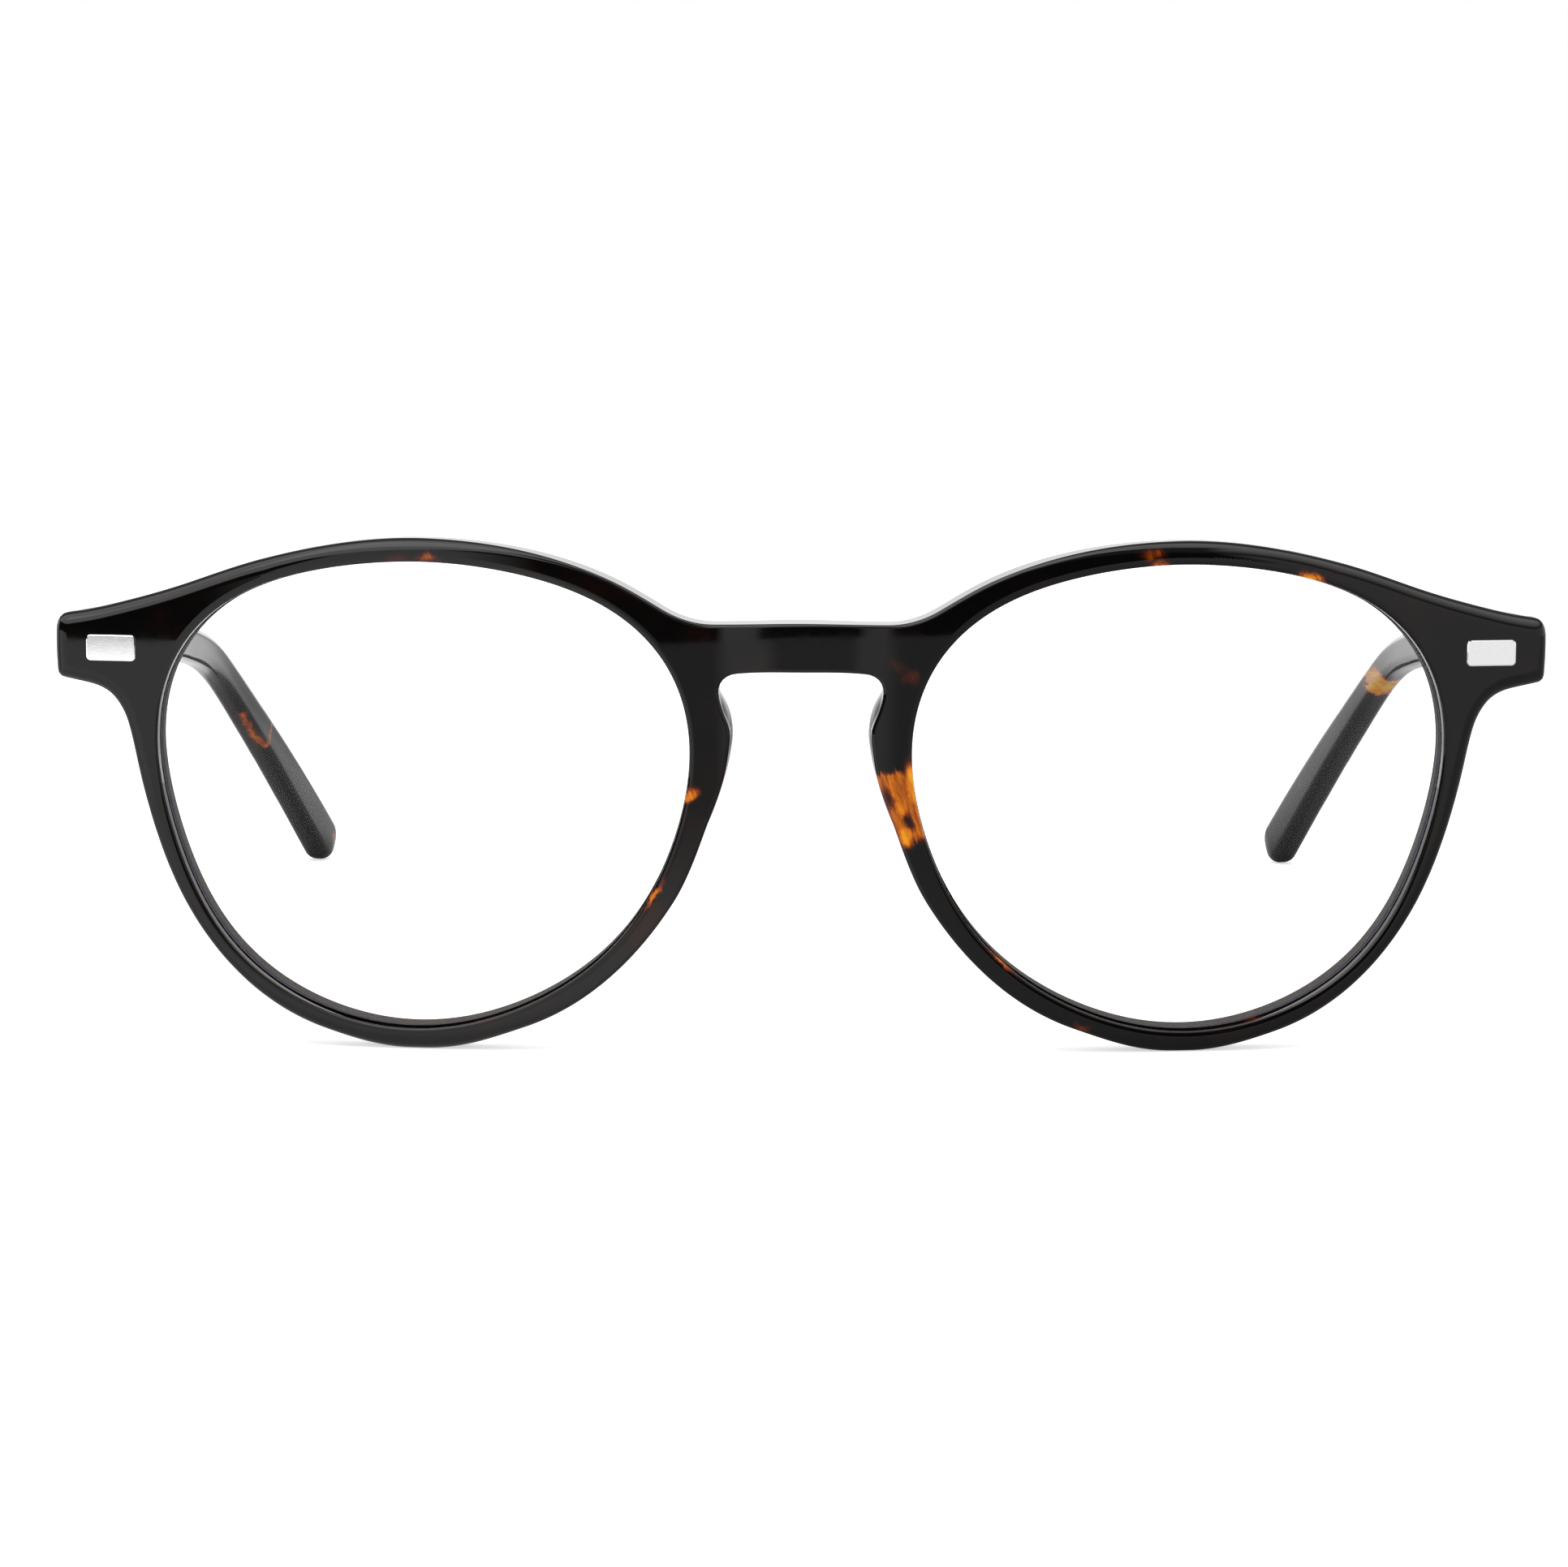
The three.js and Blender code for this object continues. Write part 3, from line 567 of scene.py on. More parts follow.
def fill_points(outer, holes):
    """An even scatter of points on the flat of the face."""
    low, high = outer.min(axis=0), outer.max(axis=0)
    rows = np.arange(low[1], high[1], FILL_SPACING * math.sqrt(3) / 2)
    grid = []
    for row, z in enumerate(rows):
        start = low[0] + FILL_SPACING * (row % 2) / 2
        grid.extend((x, z) for x in np.arange(start, high[0], FILL_SPACING))
    grid = np.array(grid)
    keep = inside(grid, outer) & (distance_to(grid, outer) > OUTER_ROUND + FILL_MARGIN)
    for hole in holes:
        keep &= ~inside(grid, hole) & (distance_to(grid, hole) > OPENING_ROUND + OPENING_ROLL + FILL_MARGIN)
    return grid[keep]


def face_rows(outer, holes):
    """All points of the face, edge rows first: as in the edge rows, and whether they belong to an opening."""
    radius = outer_round(outer, holes)
    rows = []
    for i, row in enumerate(outer_rows(outer, radius)):
        depth_in = radius * (1 - math.sin(row[2][0]))
        clear = distance_to(row[0], outer) > depth_in - ROUND_SLACK if i else np.ones(len(outer), bool)
        rows.append([value[clear] for value in (*row, np.zeros(len(outer)))])
    for hole in holes:
        rows += [(*row, np.ones(len(hole))) for row in opening_rows(hole)]
    fill = fill_points(outer, holes)
    flat = np.zeros(len(fill))
    rows.append((fill, flat, flat, np.zeros((len(fill), 2)), flat))
    return [np.concatenate(column) for column in zip(*rows)]


def face_triangles(places, outer, holes):
    """Triangles of the flat face between the outline and the openings, and the loops of its edges."""
    loops = [np.arange(len(outer))]
    for hole in holes:
        first = np.flatnonzero(np.all(np.isclose(places, hole[0]), axis=1))[0]
        loops.append(np.arange(first, first + len(hole)))
    edges = [(int(a), int(b)) for loop in loops for a, b in zip(loop, np.roll(loop, -1))]
    result = delaunay_2d_cdt([tuple(p) for p in places], edges, [], 0, SAME_POINT)
    source = [origin[0] for origin in result[3]]
    triangles = np.array([[source[i] for i in face] for face in result[2]])
    middles = places[triangles].mean(axis=1)
    keep = inside(middles, outer)
    for hole in holes:
        keep &= ~inside(middles, hole)
    return triangles[keep], loops


def wall_faces(front_row, back_row):
    """Quads of a wall that follows an anticlockwise edge from the front face to the back."""
    following_front, following_back = np.roll(front_row, -1), np.roll(back_row, -1)
    return list(zip(front_row.tolist(), back_row.tolist(), following_back.tolist(), following_front.tolist()))


def groove_rows(hole):
    """Rows of the opening's wall across the V-groove, with the direction that each row faces."""
    normals = -outward(hole)
    rows = []
    steps = ((-LENS_THICKNESS / 2, 0), (0, GROOVE_DEPTH), (GROOVE_HALF_WIDTH, 0), (REAR_LIP_DEPTH, 0))
    for depth, sunk in steps:
        x, z = (hole - normals * sunk).T
        direction = formed_normals(x, normals[:, 0], np.zeros(len(hole)), normals[:, 1])
        rows.append((formed(x, depth, z), direction))
    return rows


def front_piece():
    """The front, and which of its faces are the milled walls of the openings."""
    outer = front_outline()
    holes = [opening_ring(side) for side in (-1, 1)]
    places, drops, tilts, normals, opening = face_rows(outer, holes)
    triangles, loops = face_triangles(places, outer, holes)
    x, z = places.T
    back_x, back_z = (places + REAR_LIP * opening[:, None] * below(normals) * normals).T
    swell = 1 + BRIDGE_SWELL / HALF_SHEET * np.exp(-(x / BRIDGE_SWELL_REACH) ** 2)
    depth = HALF_SHEET - drops
    points = [formed(x, -depth, z), formed(back_x, depth * swell, back_z)]
    sideways, upwards = (np.sin(tilts)[:, None] * normals).T
    directions = [formed_normals(x, sideways, facing * np.cos(tilts), upwards) for facing in (-1, 1)]
    count = len(places)
    faces = [tuple(t) for t in triangles] + [tuple(t[::-1] + count) for t in triangles]
    faces += wall_faces(loops[0], loops[0] + count)
    milled = []
    for side, loop in zip((-1, 1), loops[1:]):
        rows = groove_rows(lens_ring(side, 1, 0))
        first = sum(len(block) for block in points)
        points += [place for place, _ in rows]
        directions += [direction for _, direction in rows]
        rings = [first + i * len(loop) + np.arange(len(loop)) for i in range(len(rows))]
        rings = [loop, *rings, loop + count]
        for i, (front_row, back_row) in enumerate(zip(rings, rings[1:])):
            wall = wall_faces(front_row[::-1], back_row[::-1])
            if i:
                milled += range(len(faces), len(faces) + len(wall))
            faces += wall
    piece = new_piece("front_acetate", np.vstack(points), faces, "front", "front_frame")
    piece.data.shade_smooth()
    piece.data.normals_split_custom_set_from_vertices([tuple(n) for n in np.vstack(directions)])
    return piece, milled


# Lenses

def lens_piece(side, name):
    """A lens, and which of its faces are its unpolished edge, painted dark as the groove's shade."""
    half = LENS_THICKNESS / 2
    shares = np.linspace(LENS_CENTRE_SHARE, 1, LENS_RINGS)
    bevel = [(1, -LENS_GAP, -BEVEL_HALF_WIDTH), (1, BEVEL_HEIGHT, 0), (1, -LENS_GAP, BEVEL_HALF_WIDTH)]
    rows = [(share, -LENS_GAP, -half - LENS_DOME * (1 - share ** 2)) for share in shares] + bevel
    rows += [(share, -LENS_GAP, half - LENS_DOME * (1 - share ** 2)) for share in shares[::-1]]
    points = []
    for share, grow, depth in rows:
        x, z = lens_ring(side, share, grow)[::-1].T
        points.append(formed(x, depth, z))
    faces = loft_faces(len(rows), LENS_POINTS)
    piece = new_piece(f"lens_clear_{name}", np.vstack(points), faces, "front", f"lens_{name}")
    smooth(piece, LENS_SHARP)
    edge = range((LENS_RINGS - 1) * LENS_POINTS, (LENS_RINGS + len(bevel)) * LENS_POINTS)
    return piece, edge


# Nose pads

def smooth_through(places, values, wanted):
    """A smooth curve through a few values, by cubic steps with even tangents."""
    slopes = np.gradient(values, places)
    i = np.clip(np.searchsorted(places, wanted) - 1, 0, len(places) - 2)
    gap = places[i + 1] - places[i]
    t = (wanted - places[i]) / gap
    near = values[i] * (1 + 2 * t) * (1 - t) ** 2 + slopes[i] * gap * t * (1 - t) ** 2
    far = values[i + 1] * t ** 2 * (3 - 2 * t) - slopes[i + 1] * gap * t ** 2 * (1 - t)
    return near + far


def pad_sections(inner, outer, front, back):
    """Across and depth of the pad's sections: a bulge to the back and, towards the nose, a slope in front."""
    bulge = np.linspace(0, math.pi, PAD_POINTS)
    bulge_x = (inner + outer) / 2 + (outer - inner) / 2 * np.cos(bulge)
    foot = np.minimum(front + PAD_FRONT_ROUND, HALF_SHEET)
    bulge_depth = foot + (back - foot) * np.sin(bulge)
    edge = np.linspace(math.pi, 1.5 * math.pi, PAD_EDGE_POINTS)[1:]
    edge_x = inner + np.minimum(PAD_FRONT_REACH, (outer - inner) / 2) * (1 + np.cos(edge))
    edge_depth = foot + (foot - front) * np.sin(edge)
    return np.hstack([bulge_x, edge_x]), np.hstack([bulge_depth, edge_depth])


def pad_piece(side, name):
    heights, crests = np.array(PAD_CREST).T
    share = (1 - np.cos(np.linspace(0, 1, PAD_RINGS) * math.pi)) / 2
    share = np.clip(share, PAD_END_SHARE, 1 - PAD_END_SHARE)
    z = between(heights[0], heights[-1], share)
    inner = smooth_through(heights, crests, z)
    full = np.sqrt(1 - (2 * share - 1) ** 2)
    angle = math.pi - np.arcsin((z - LENS_Z) / lens_radius(np.array([math.pi])))
    edge = LENS_X + lens_radius(angle) * np.cos(angle) - PAD_LENS_MARGIN
    outer = between(inner, edge, np.maximum(full, PAD_LEAST_WIDTH))
    front = PAD_FRONT + PAD_SETBACK * (1 - full)
    back = HALF_SHEET + PAD_GLUE + PAD_DEPTH * full
    x, depth = pad_sections(inner[:, None], outer[:, None], front[:, None], back[:, None])
    points = formed(x, depth, z[:, None]).reshape(-1, 3)
    faces = loft_faces(PAD_RINGS, x.shape[1])
    return side_piece(side, PAD_SHARP, f"pad_{name}", points, faces,
                      "front", f"nose_pad_{name}")


# Plaques

def rounded_bar(length, height, corner):
    """Anticlockwise closed line of a bar with round corners, as seen from the front."""
    corners = [(1, 1, 0), (-1, 1, 90), (-1, -1, 180), (1, -1, 270)]
    points = []
    for right, up, start in corners:
        for angle in np.radians(np.linspace(start, start + 90, CORNER_POINTS)):
            x = right * (length / 2 - corner) + corner * math.cos(angle)
            z = up * (height / 2 - corner) + corner * math.sin(angle)
            points.append((x, z))
    return np.array(points)


def plaque_piece(side, name):
    bulge = PLAQUE_EDGE_BULGE * PLAQUE_EDGE
    rows = [(PLAQUE_EDGE, -PLAQUE_PROUD), (bulge, bulge - PLAQUE_PROUD)]
    rows += [(0, PLAQUE_EDGE - PLAQUE_PROUD), (0, PLAQUE_SUNK)]
    points = []
    for inset, depth in rows:
        ring = rounded_bar(PLAQUE_LENGTH - 2 * inset, PLAQUE_HEIGHT - 2 * inset, PLAQUE_CORNER - inset)
        x, z = ring[::-1].T
        points.append(formed(PLAQUE_AT + x, depth - HALF_SHEET, PLAQUE_Z + z))
    faces = loft_faces(len(rows), 4 * CORNER_POINTS)
    return side_piece(side, PLAQUE_SHARP, f"plaque_metal_{name}", np.vstack(points), faces,
                      "front", f"plaque_{name}")


# Temples

def slope_at(before, here, after, gap_before, gap_after):
    """Slope of a smooth curve at a point, from the points before and after it."""
    whole = (after - before) / (gap_before + gap_after)
    return (here - before) / gap_before - whole + (after - here) / gap_after


def temple_curve():
    """Points of the temple's centreline, close together, and how far along it they are."""
    line = np.array(TEMPLE_LINE, float)
    line = np.vstack([2 * line[0] - line[1], line, 2 * line[-1] - line[-2]])
    gaps = np.sqrt(np.linalg.norm(np.diff(line, axis=0), axis=1))
    t = np.linspace(0, 1, STRETCH_POINTS, endpoint=False)[:, None]
    points = []
    for i in range(1, len(line) - 2):
        start, end = line[i], line[i + 1]
        leave = slope_at(line[i - 1], start, end, gaps[i - 1], gaps[i]) * gaps[i]
        arrive = slope_at(start, end, line[i + 2], gaps[i], gaps[i + 1]) * gaps[i]
        near = (2 * t ** 3 - 3 * t ** 2 + 1) * start + (t ** 3 - 2 * t ** 2 + t) * leave
        points.append(near + (3 * t ** 2 - 2 * t ** 3) * end + (t ** 3 - t ** 2) * arrive)
    points = np.vstack(points + [line[-2:-1]])
    running = running_length(points)
    return points, running / running[-1]


def unit(vectors):
    return vectors / np.linalg.norm(vectors, axis=1)[:, None]


def temple_sections(shares):
    """Middle, sideways, up and forward directions of the temple's sections."""
    points, running = temple_curve()
    middle = places_along(points, running, shares)
    ahead = places_along(points, running, np.minimum(shares + TANGENT_STEP, 1))
    tangent = unit(ahead - places_along(points, running, np.maximum(shares - TANGENT_STEP, 0)))
    across = unit(np.cross(tangent, [0, 0, 1]))
    return middle, across, np.cross(across, tangent), tangent


def temple_sizes():
    """Shares along the temple with its thickness and height there, rounded off at the tip."""
    body = np.linspace(0, 1 - TIP_ROUND_SHARE, TEMPLE_RINGS)
    thinned = np.minimum(1, body / TEMPLE_BEND_SHARE)
    thickness = between(TEMPLE_THICKNESS, TEMPLE_TIP_THICKNESS, thinned)
    early = between(TEMPLE_HEIGHT, TEMPLE_BEND_HEIGHT, body / TEMPLE_BEND_SHARE)
    past = np.clip((body - TEMPLE_BEND_SHARE) / (1 - TEMPLE_BEND_SHARE), 0, 1)
    late = between(TEMPLE_BEND_HEIGHT, TEMPLE_TIP_HEIGHT, past ** 2 * (3 - 2 * past))
    height = np.where(body < TEMPLE_BEND_SHARE, early, late)
    angle = np.linspace(0, math.pi / 2, TIP_ROUND_STEPS + 2)[1:-1]
    tip = 1 - TIP_ROUND_SHARE * (1 - np.sin(angle))
    tip_thickness = TEMPLE_TIP_THICKNESS * between(TIP_EDGE_SHARE, 1, np.cos(angle))
    tip_height = TEMPLE_TIP_HEIGHT * np.cos(angle)
    pairs = ((body, tip), (thickness, tip_thickness), (height, tip_height))
    return [np.concatenate(pair) for pair in pairs]


def cut_at_butt(rings, tangent):
    """The rings with the front end moved to the butt face, which lies along the back of the endpiece."""
    corner = formed(PLAQUE_AT, HALF_SHEET + BUTT_GAP, 0) / MM - np.array([0, SHIFT_Y, 0])
    facing = np.array([-math.sin(BEND_ANGLE), math.cos(BEND_ANGLE), 0])
    ahead = (rings - corner) @ facing
    kept = rings[ahead.min(axis=1) > 2 * BUTT_CHAMFER]
    reach = (kept[0] - corner) @ facing / (tangent @ facing)
    butt = kept[0] - reach[:, None] * tangent
    middle = butt.mean(axis=0)
    inset = middle + (butt - middle) * (1 - BUTT_CHAMFER / np.linalg.norm(butt - middle, axis=1))[:, None]
    return np.concatenate([[inset], [butt + BUTT_CHAMFER * tangent], kept])


def temple_piece(side, name):
    shares, thickness, height = temple_sizes()
    middle, across, up, tangent = temple_sections(shares)
    rings = []
    for i in range(len(shares)):
        corner = min(TEMPLE_CORNER, thickness[i] / 2, height[i] / 2)
        sideways, upwards = rounded_bar(thickness[i], height[i], corner)[::-1].T
        rings.append(middle[i] + sideways[:, None] * across[i] + upwards[:, None] * up[i])
    rings = cut_at_butt(np.array(rings), tangent[0])
    points = (rings.reshape(-1, 3) + np.array([0, SHIFT_Y, 0])) * MM
    faces = loft_faces(len(rings), rings.shape[1])
    return side_piece(side, TEMPLE_SHARP, f"temple_acetate_{name}", points, faces,
                      f"{name}_temple", f"temple_{name}")


# Hinges

def hinge_axis():
    return formed(HINGE_AT, HALF_SHEET + HINGE_STANDOFF, HINGE_Z)


def barrel_lift(i):
    return (i - (BARRELS - 1) / 2) * (BARREL_HEIGHT + BARREL_GAP)


def knuckle(foot, before, lift):
    """A bored barrel on a web: along the plate, away from it and up, with the faces of its closed skin."""
    angle = np.linspace(0, 2 * math.pi, BARREL_POINTS, endpoint=False)
    along, away = np.cos(angle), np.sin(angle)
    half_width = np.where(along < 0, before, BARREL_RADIUS)
    side = half_width / np.maximum(np.abs(along), foot / BARREL_POINTS)
    end = foot / np.maximum(np.abs(away), foot / BARREL_POINTS)
    outline = np.where(away >= 0, BARREL_RADIUS, np.minimum(side, end))
    bore = np.full(BARREL_POINTS, BORE_RADIUS)
    half = BARREL_HEIGHT / 2
    rows = [(bore, -half), (outline - BARREL_EDGE, -half), (outline, BARREL_EDGE - half)]
    rows += [(outline, half - BARREL_EDGE), (outline - BARREL_EDGE, half), (bore, half)]
    points = [np.stack([r * along, r * away, np.full(BARREL_POINTS, lift + up)], axis=1) for r, up in rows]
    return np.vstack(points), band_faces(len(rows), len(rows), BARREL_POINTS)


def plate(length, height, proud):
    """A let-in plate about its middle: along, up and how far out, with its faces."""
    rows = ((0, -PLATE_SUNK), (0, proud - PLATE_EDGE), (PLATE_EDGE, proud))
    points = []
    for inset, out in rows:
        ring = rounded_bar(length - 2 * inset, height - 2 * inset, PLATE_CORNER - inset)[::-1]
        points.append(np.column_stack([ring, np.full(len(ring), out)]))
    return np.vstack(points), loft_faces(len(rows), 4 * CORNER_POINTS)


def hinge_piece(side, name, shells, body, replaced):
    """One piece of several closed shells, each with its points and faces."""
    points, faces = [], []
    for shell_points, shell_faces in shells:
        first = sum(len(block) for block in points)
        points.append(shell_points)
        faces += [tuple(first + corner for corner in face) for face in shell_faces]
    return side_piece(side, HINGE_SHARP, name, np.vstack(points), faces, body, replaced)


def front_hinge(side, name):
    flat, faces = plate(FRONT_PLATE_END - FRONT_PLATE_START, HINGE_HEIGHT, FRONT_PLATE_PROUD)
    middle = (FRONT_PLATE_START + FRONT_PLATE_END) / 2
    shells = [(formed(middle + flat[:, 0], HALF_SHEET + flat[:, 2], HINGE_Z + flat[:, 1]), faces)]
    for i in range(0, BARRELS, 2):
        points, faces = knuckle(HINGE_STANDOFF, BARREL_RADIUS, barrel_lift(i))
        along, away, up = points.T
        shells.append((formed(HINGE_AT + along, HALF_SHEET + HINGE_STANDOFF + away, HINGE_Z + up), faces))
    leaf = f"hinge_leaf_front_{name}"
    return hinge_piece(side, leaf, shells, "front", f"hinge_front_{name}")


def temple_hinge(side, name):
    axis = hinge_axis()
    inner = (TEMPLE_LINE[0][0] - TEMPLE_THICKNESS / 2) * MM
    flat, faces = plate(TEMPLE_PLATE_LENGTH, TEMPLE_PLATE_HEIGHT, TEMPLE_PLATE_PROUD)
    start = axis[1] + (TEMPLE_PLATE_LENGTH / 2 - TEMPLE_WEB_FRONT) * MM
    along, up, out = flat.T * MM
    fall = (TEMPLE_LINE[0][2] - TEMPLE_LINE[1][2]) / (TEMPLE_LINE[1][1] - TEMPLE_LINE[0][1])
    lift = axis[2] - fall * (start - axis[1] + along)
    shells = [(np.column_stack([inner - out, start + along, lift + up]), faces)]
    foot = inner / MM - axis[0] / MM
    for i in range(1, BARRELS, 2):
        points, faces = knuckle(foot, TEMPLE_WEB_FRONT, barrel_lift(i))
        along, away, up = points.T * MM
        shells.append((np.column_stack([axis[0] - away, axis[1] + along, axis[2] + up]), faces))
    leaf = f"hinge_leaf_temple_{name}"
    return hinge_piece(side, leaf, shells, f"{name}_temple", f"hinge_temple_{name}")


def cut_slot(piece, crown):
    """The driver slot across the screw's head."""
    corners = np.array([(x, y, z) for z in (-1, 1) for x, y in ((-1, -1), (1, -1), (1, 1), (-1, 1))])
    half = np.array([SCREW_SLOT / 2, 2 * SCREW_HEAD_RADIUS, SCREW_HEAD_HEIGHT / 2])
    cutter = add_object("slot", new_mesh("slot", crown + corners * half * MM, loft_faces(2, 4)))
    cut = piece.modifiers.new("slot", "BOOLEAN")
    cut.operation = "DIFFERENCE"
    cut.solver = "EXACT"
    cut.object = cutter
    shaped = piece.evaluated_get(bpy.context.evaluated_depsgraph_get())
    result = bpy.data.meshes.new_from_object(shaped)
    piece.modifiers.clear()
    piece.data = result
    bpy.data.objects.remove(cutter)
    smooth(piece, HINGE_SHARP)


def screw_piece(side, name):
    """Slotted screw through all five barrels, with its head on the uppermost."""
    top = HINGE_HEIGHT / 2 + BARREL_GAP
    bottom = -HINGE_HEIGHT / 2 - SCREW_END
    crown = top + SCREW_HEAD_HEIGHT
    rows = [(SCREW_RADIUS - SCREW_EDGE, bottom), (SCREW_RADIUS, bottom + SCREW_EDGE), (SCREW_RADIUS, top)]
    rows += [(SCREW_HEAD_RADIUS - SCREW_EDGE / 2, top), (SCREW_HEAD_RADIUS, top + SCREW_EDGE / 2)]
    rows += [(SCREW_HEAD_RADIUS, crown - SCREW_EDGE), (SCREW_HEAD_RADIUS - SCREW_EDGE, crown)]
    angle = np.linspace(0, 2 * math.pi, BARREL_POINTS, endpoint=False)
    circle = np.column_stack([np.cos(angle), np.sin(angle), np.zeros(BARREL_POINTS)])
    points = np.vstack([circle * radius + (0, 0, lift) for radius, lift in rows])
    shells = [(hinge_axis() + points * MM, loft_faces(len(rows), BARREL_POINTS))]
    screw = f"hinge_screw_slotted_{name}"
    piece = hinge_piece(side, screw, shells, "front", f"hinge_screw_{name}")
    cut_slot(piece, mirrored(hinge_axis() + np.array([0, 0, crown * MM]), side))
    return piece


# Materials

class Nodes:
    """Short calls for the nodes of one material."""

    def __init__(self, owner):
        self.tree = owner.node_tree

    def set(self, node, values):
        """Constants and links for a node's inputs."""
        for key, value in values.items():
            if isinstance(value, bpy.types.NodeSocket):
                self.tree.links.new(value, node.inputs[key])
            else:
                node.inputs[key].default_value = value

    def node(self, kind, values):
        """A new node with its inputs."""
        node = self.tree.nodes.new("ShaderNode" + kind)
        self.set(node, values)
        return node

    def position(self, scale):
        place = self.node("TexCoord", {}).outputs["Object"]
        return self.vector("MULTIPLY", place, (scale, scale, scale))

    def vector(self, operation, a, b):
        node = self.node("VectorMath", {0: a, 1: b})
        node.operation = operation
        return node.outputs["Value" if operation == "LENGTH" else "Vector"]

    def math(self, operation, a, b):
        node = self.node("Math", {0: a, 1: b})
        node.operation = operation
        return node.outputs["Value"]

    def blend(self, share, a, b):
        """The first value by its share, and the second one for the rest."""
        rest = self.math("SUBTRACT", 1, share)
        return self.math("ADD", self.math("MULTIPLY", share, a), self.math("MULTIPLY", rest, b))

    def turn(self, place, middle, degrees):
        node = self.node("VectorRotate", {"Vector": place, "Center": middle, "Angle": math.radians(degrees)})
        node.rotation_type = "Y_AXIS"
        return node.outputs["Vector"]

    def parts(self, vector):
        return self.node("SeparateXYZ", {"Vector": vector}).outputs

    def noise(self, place, scale, detail, roughness, output="Fac"):
        values = {"Vector": place, "Scale": scale, "Detail": detail, "Roughness": roughness}
        return self.node("TexNoise", values).outputs[output]

    def shifted(self, place, noise_place, noise, reach):
        """Places moved about by noise."""
        shift = self.vector("SUBTRACT", self.noise(noise_place, *noise, "Color"), NOISE_MIDDLE)
        return self.vector("ADD", place, self.vector("MULTIPLY", shift, reach))

    def spread(self, value, low, high, to_low, to_high):
        values = {"Value": value, "From Min": low, "From Max": high, "To Min": to_low, "To Max": to_high}
        node = self.node("MapRange", values)
        node.interpolation_type = "SMOOTHSTEP"
        return node.outputs["Result"]

    def ramp(self, value, stops):
        node = self.node("ValToRGB", {"Fac": value})
        elements = node.color_ramp.elements
        while len(elements) < len(stops):
            elements.new(1)
        for element, (place, colour) in zip(elements, stops):
            element.position = place
            element.color = (*colour, 1)
        return node.outputs["Color"]

    def grey_ramp(self, value, low, high, stops):
        """Grey levels at places between low and high."""
        scaled = self.math("DIVIDE", self.math("SUBTRACT", value, low), high - low)
        return self.ramp(scaled, [((place - low) / (high - low), (level,) * 3) for place, level in stops])

    def light(self):
        """Whether light goes to the eye, also through a lens, and whether it comes from a reflection."""
        path = self.node("LightPath", {}).outputs
        seen = self.math("MAXIMUM", path["Is Camera Ray"], path["Is Transmission Ray"])
        not_through = self.math("SUBTRACT", 1, path["Is Transmission Ray"])
        return seen, self.math("MULTIPLY", path["Is Glossy Ray"], not_through)


def new_material(name):
    """A material with its nodes and its shader."""
    material = bpy.data.materials.new(name)
    material.use_nodes = True
    material.node_tree.nodes.clear()
    nodes = Nodes(material)
    shader = nodes.node("BsdfPrincipled", {})
    nodes.node("OutputMaterial", {"Surface": shader.outputs["BSDF"]})
    return material, nodes, shader


def patch_strength(nodes, place, frayed, patches, softness):
    """How much amber shows at each place: the strongest patch there, less the dark spots."""
    total = 0.0
    spots = 0.0
    for middle, sizes, tilt, strength in patches:
        turned = nodes.turn(frayed if min(sizes) > FRAYED_FROM else place, middle, tilt)
        away = nodes.vector("DIVIDE", nodes.vector("SUBTRACT", turned, middle), sizes)
        core = max(0, 1 - softness / min(sizes))
        amount = nodes.spread(nodes.vector("LENGTH", away, (0, 0, 0)), core, 1.0, abs(strength), 0)
        if strength > 0:
            total = nodes.math("MAXIMUM", total, amount)
        else:
            spots = nodes.math("MAXIMUM", spots, amount)
    return nodes.math("SUBTRACT", total, spots)


def tortoise(name, patches, look):
    """Polished dark acetate with soft-edged, streaked amber patches."""
    material, nodes, shader = new_material(name)
    place = nodes.position(1 / MM)
    shifted = nodes.shifted(place, place, WANDER_NOISE, PATCH_WANDER)
    grain = nodes.vector("MULTIPLY", nodes.turn(place, (0, 0, 0), STREAK_TILT), look["streaks"])
    frayed = nodes.shifted(shifted, grain, FRAY_NOISE, look["fray"])
    amber = patch_strength(nodes, shifted, frayed, patches, look["softness"])
    streak = nodes.spread(nodes.noise(grain, *STREAK_NOISE), *STREAK_RANGE)
    mottle = nodes.spread(nodes.noise(place, *MOTTLE_NOISE), *MOTTLE_RANGE)
    amber = nodes.math("MAXIMUM", nodes.math("MULTIPLY", amber, streak), mottle)
    polish = nodes.noise(place, *POLISH_NOISE)
    nodes.set(shader, {
        "Base Color": nodes.ramp(amber, look["amber"]),
        "Roughness": nodes.spread(polish, NOISE_LOW, NOISE_HIGH, *POLISH_ROUGHNESS),
        "IOR": ACETATE_IOR,
        "Specular IOR Level": look["gloss"],
    })
    return material


def matt_edge(name, colour):
    """Unpolished dark edge with the fine marks of the mill; on the lens edge the dark colour is painted shade
    of the groove.
    """
    material, nodes, shader = new_material(name)
    grain = nodes.noise(nodes.position(1 / MM), *MILL_NOISE)
    lighter = tuple(MILL_LIGHTER * part for part in colour)
    nodes.set(shader, {
        "Base Color": nodes.ramp(grain, [(MARKS_DARK_AT, colour), (MARKS_LIGHT_AT, lighter)]),
        "Roughness": nodes.spread(grain, NOISE_LOW, NOISE_HIGH, *MILL_ROUGHNESS),
        "Specular IOR Level": MATT_GLOSS,
    })
    return material


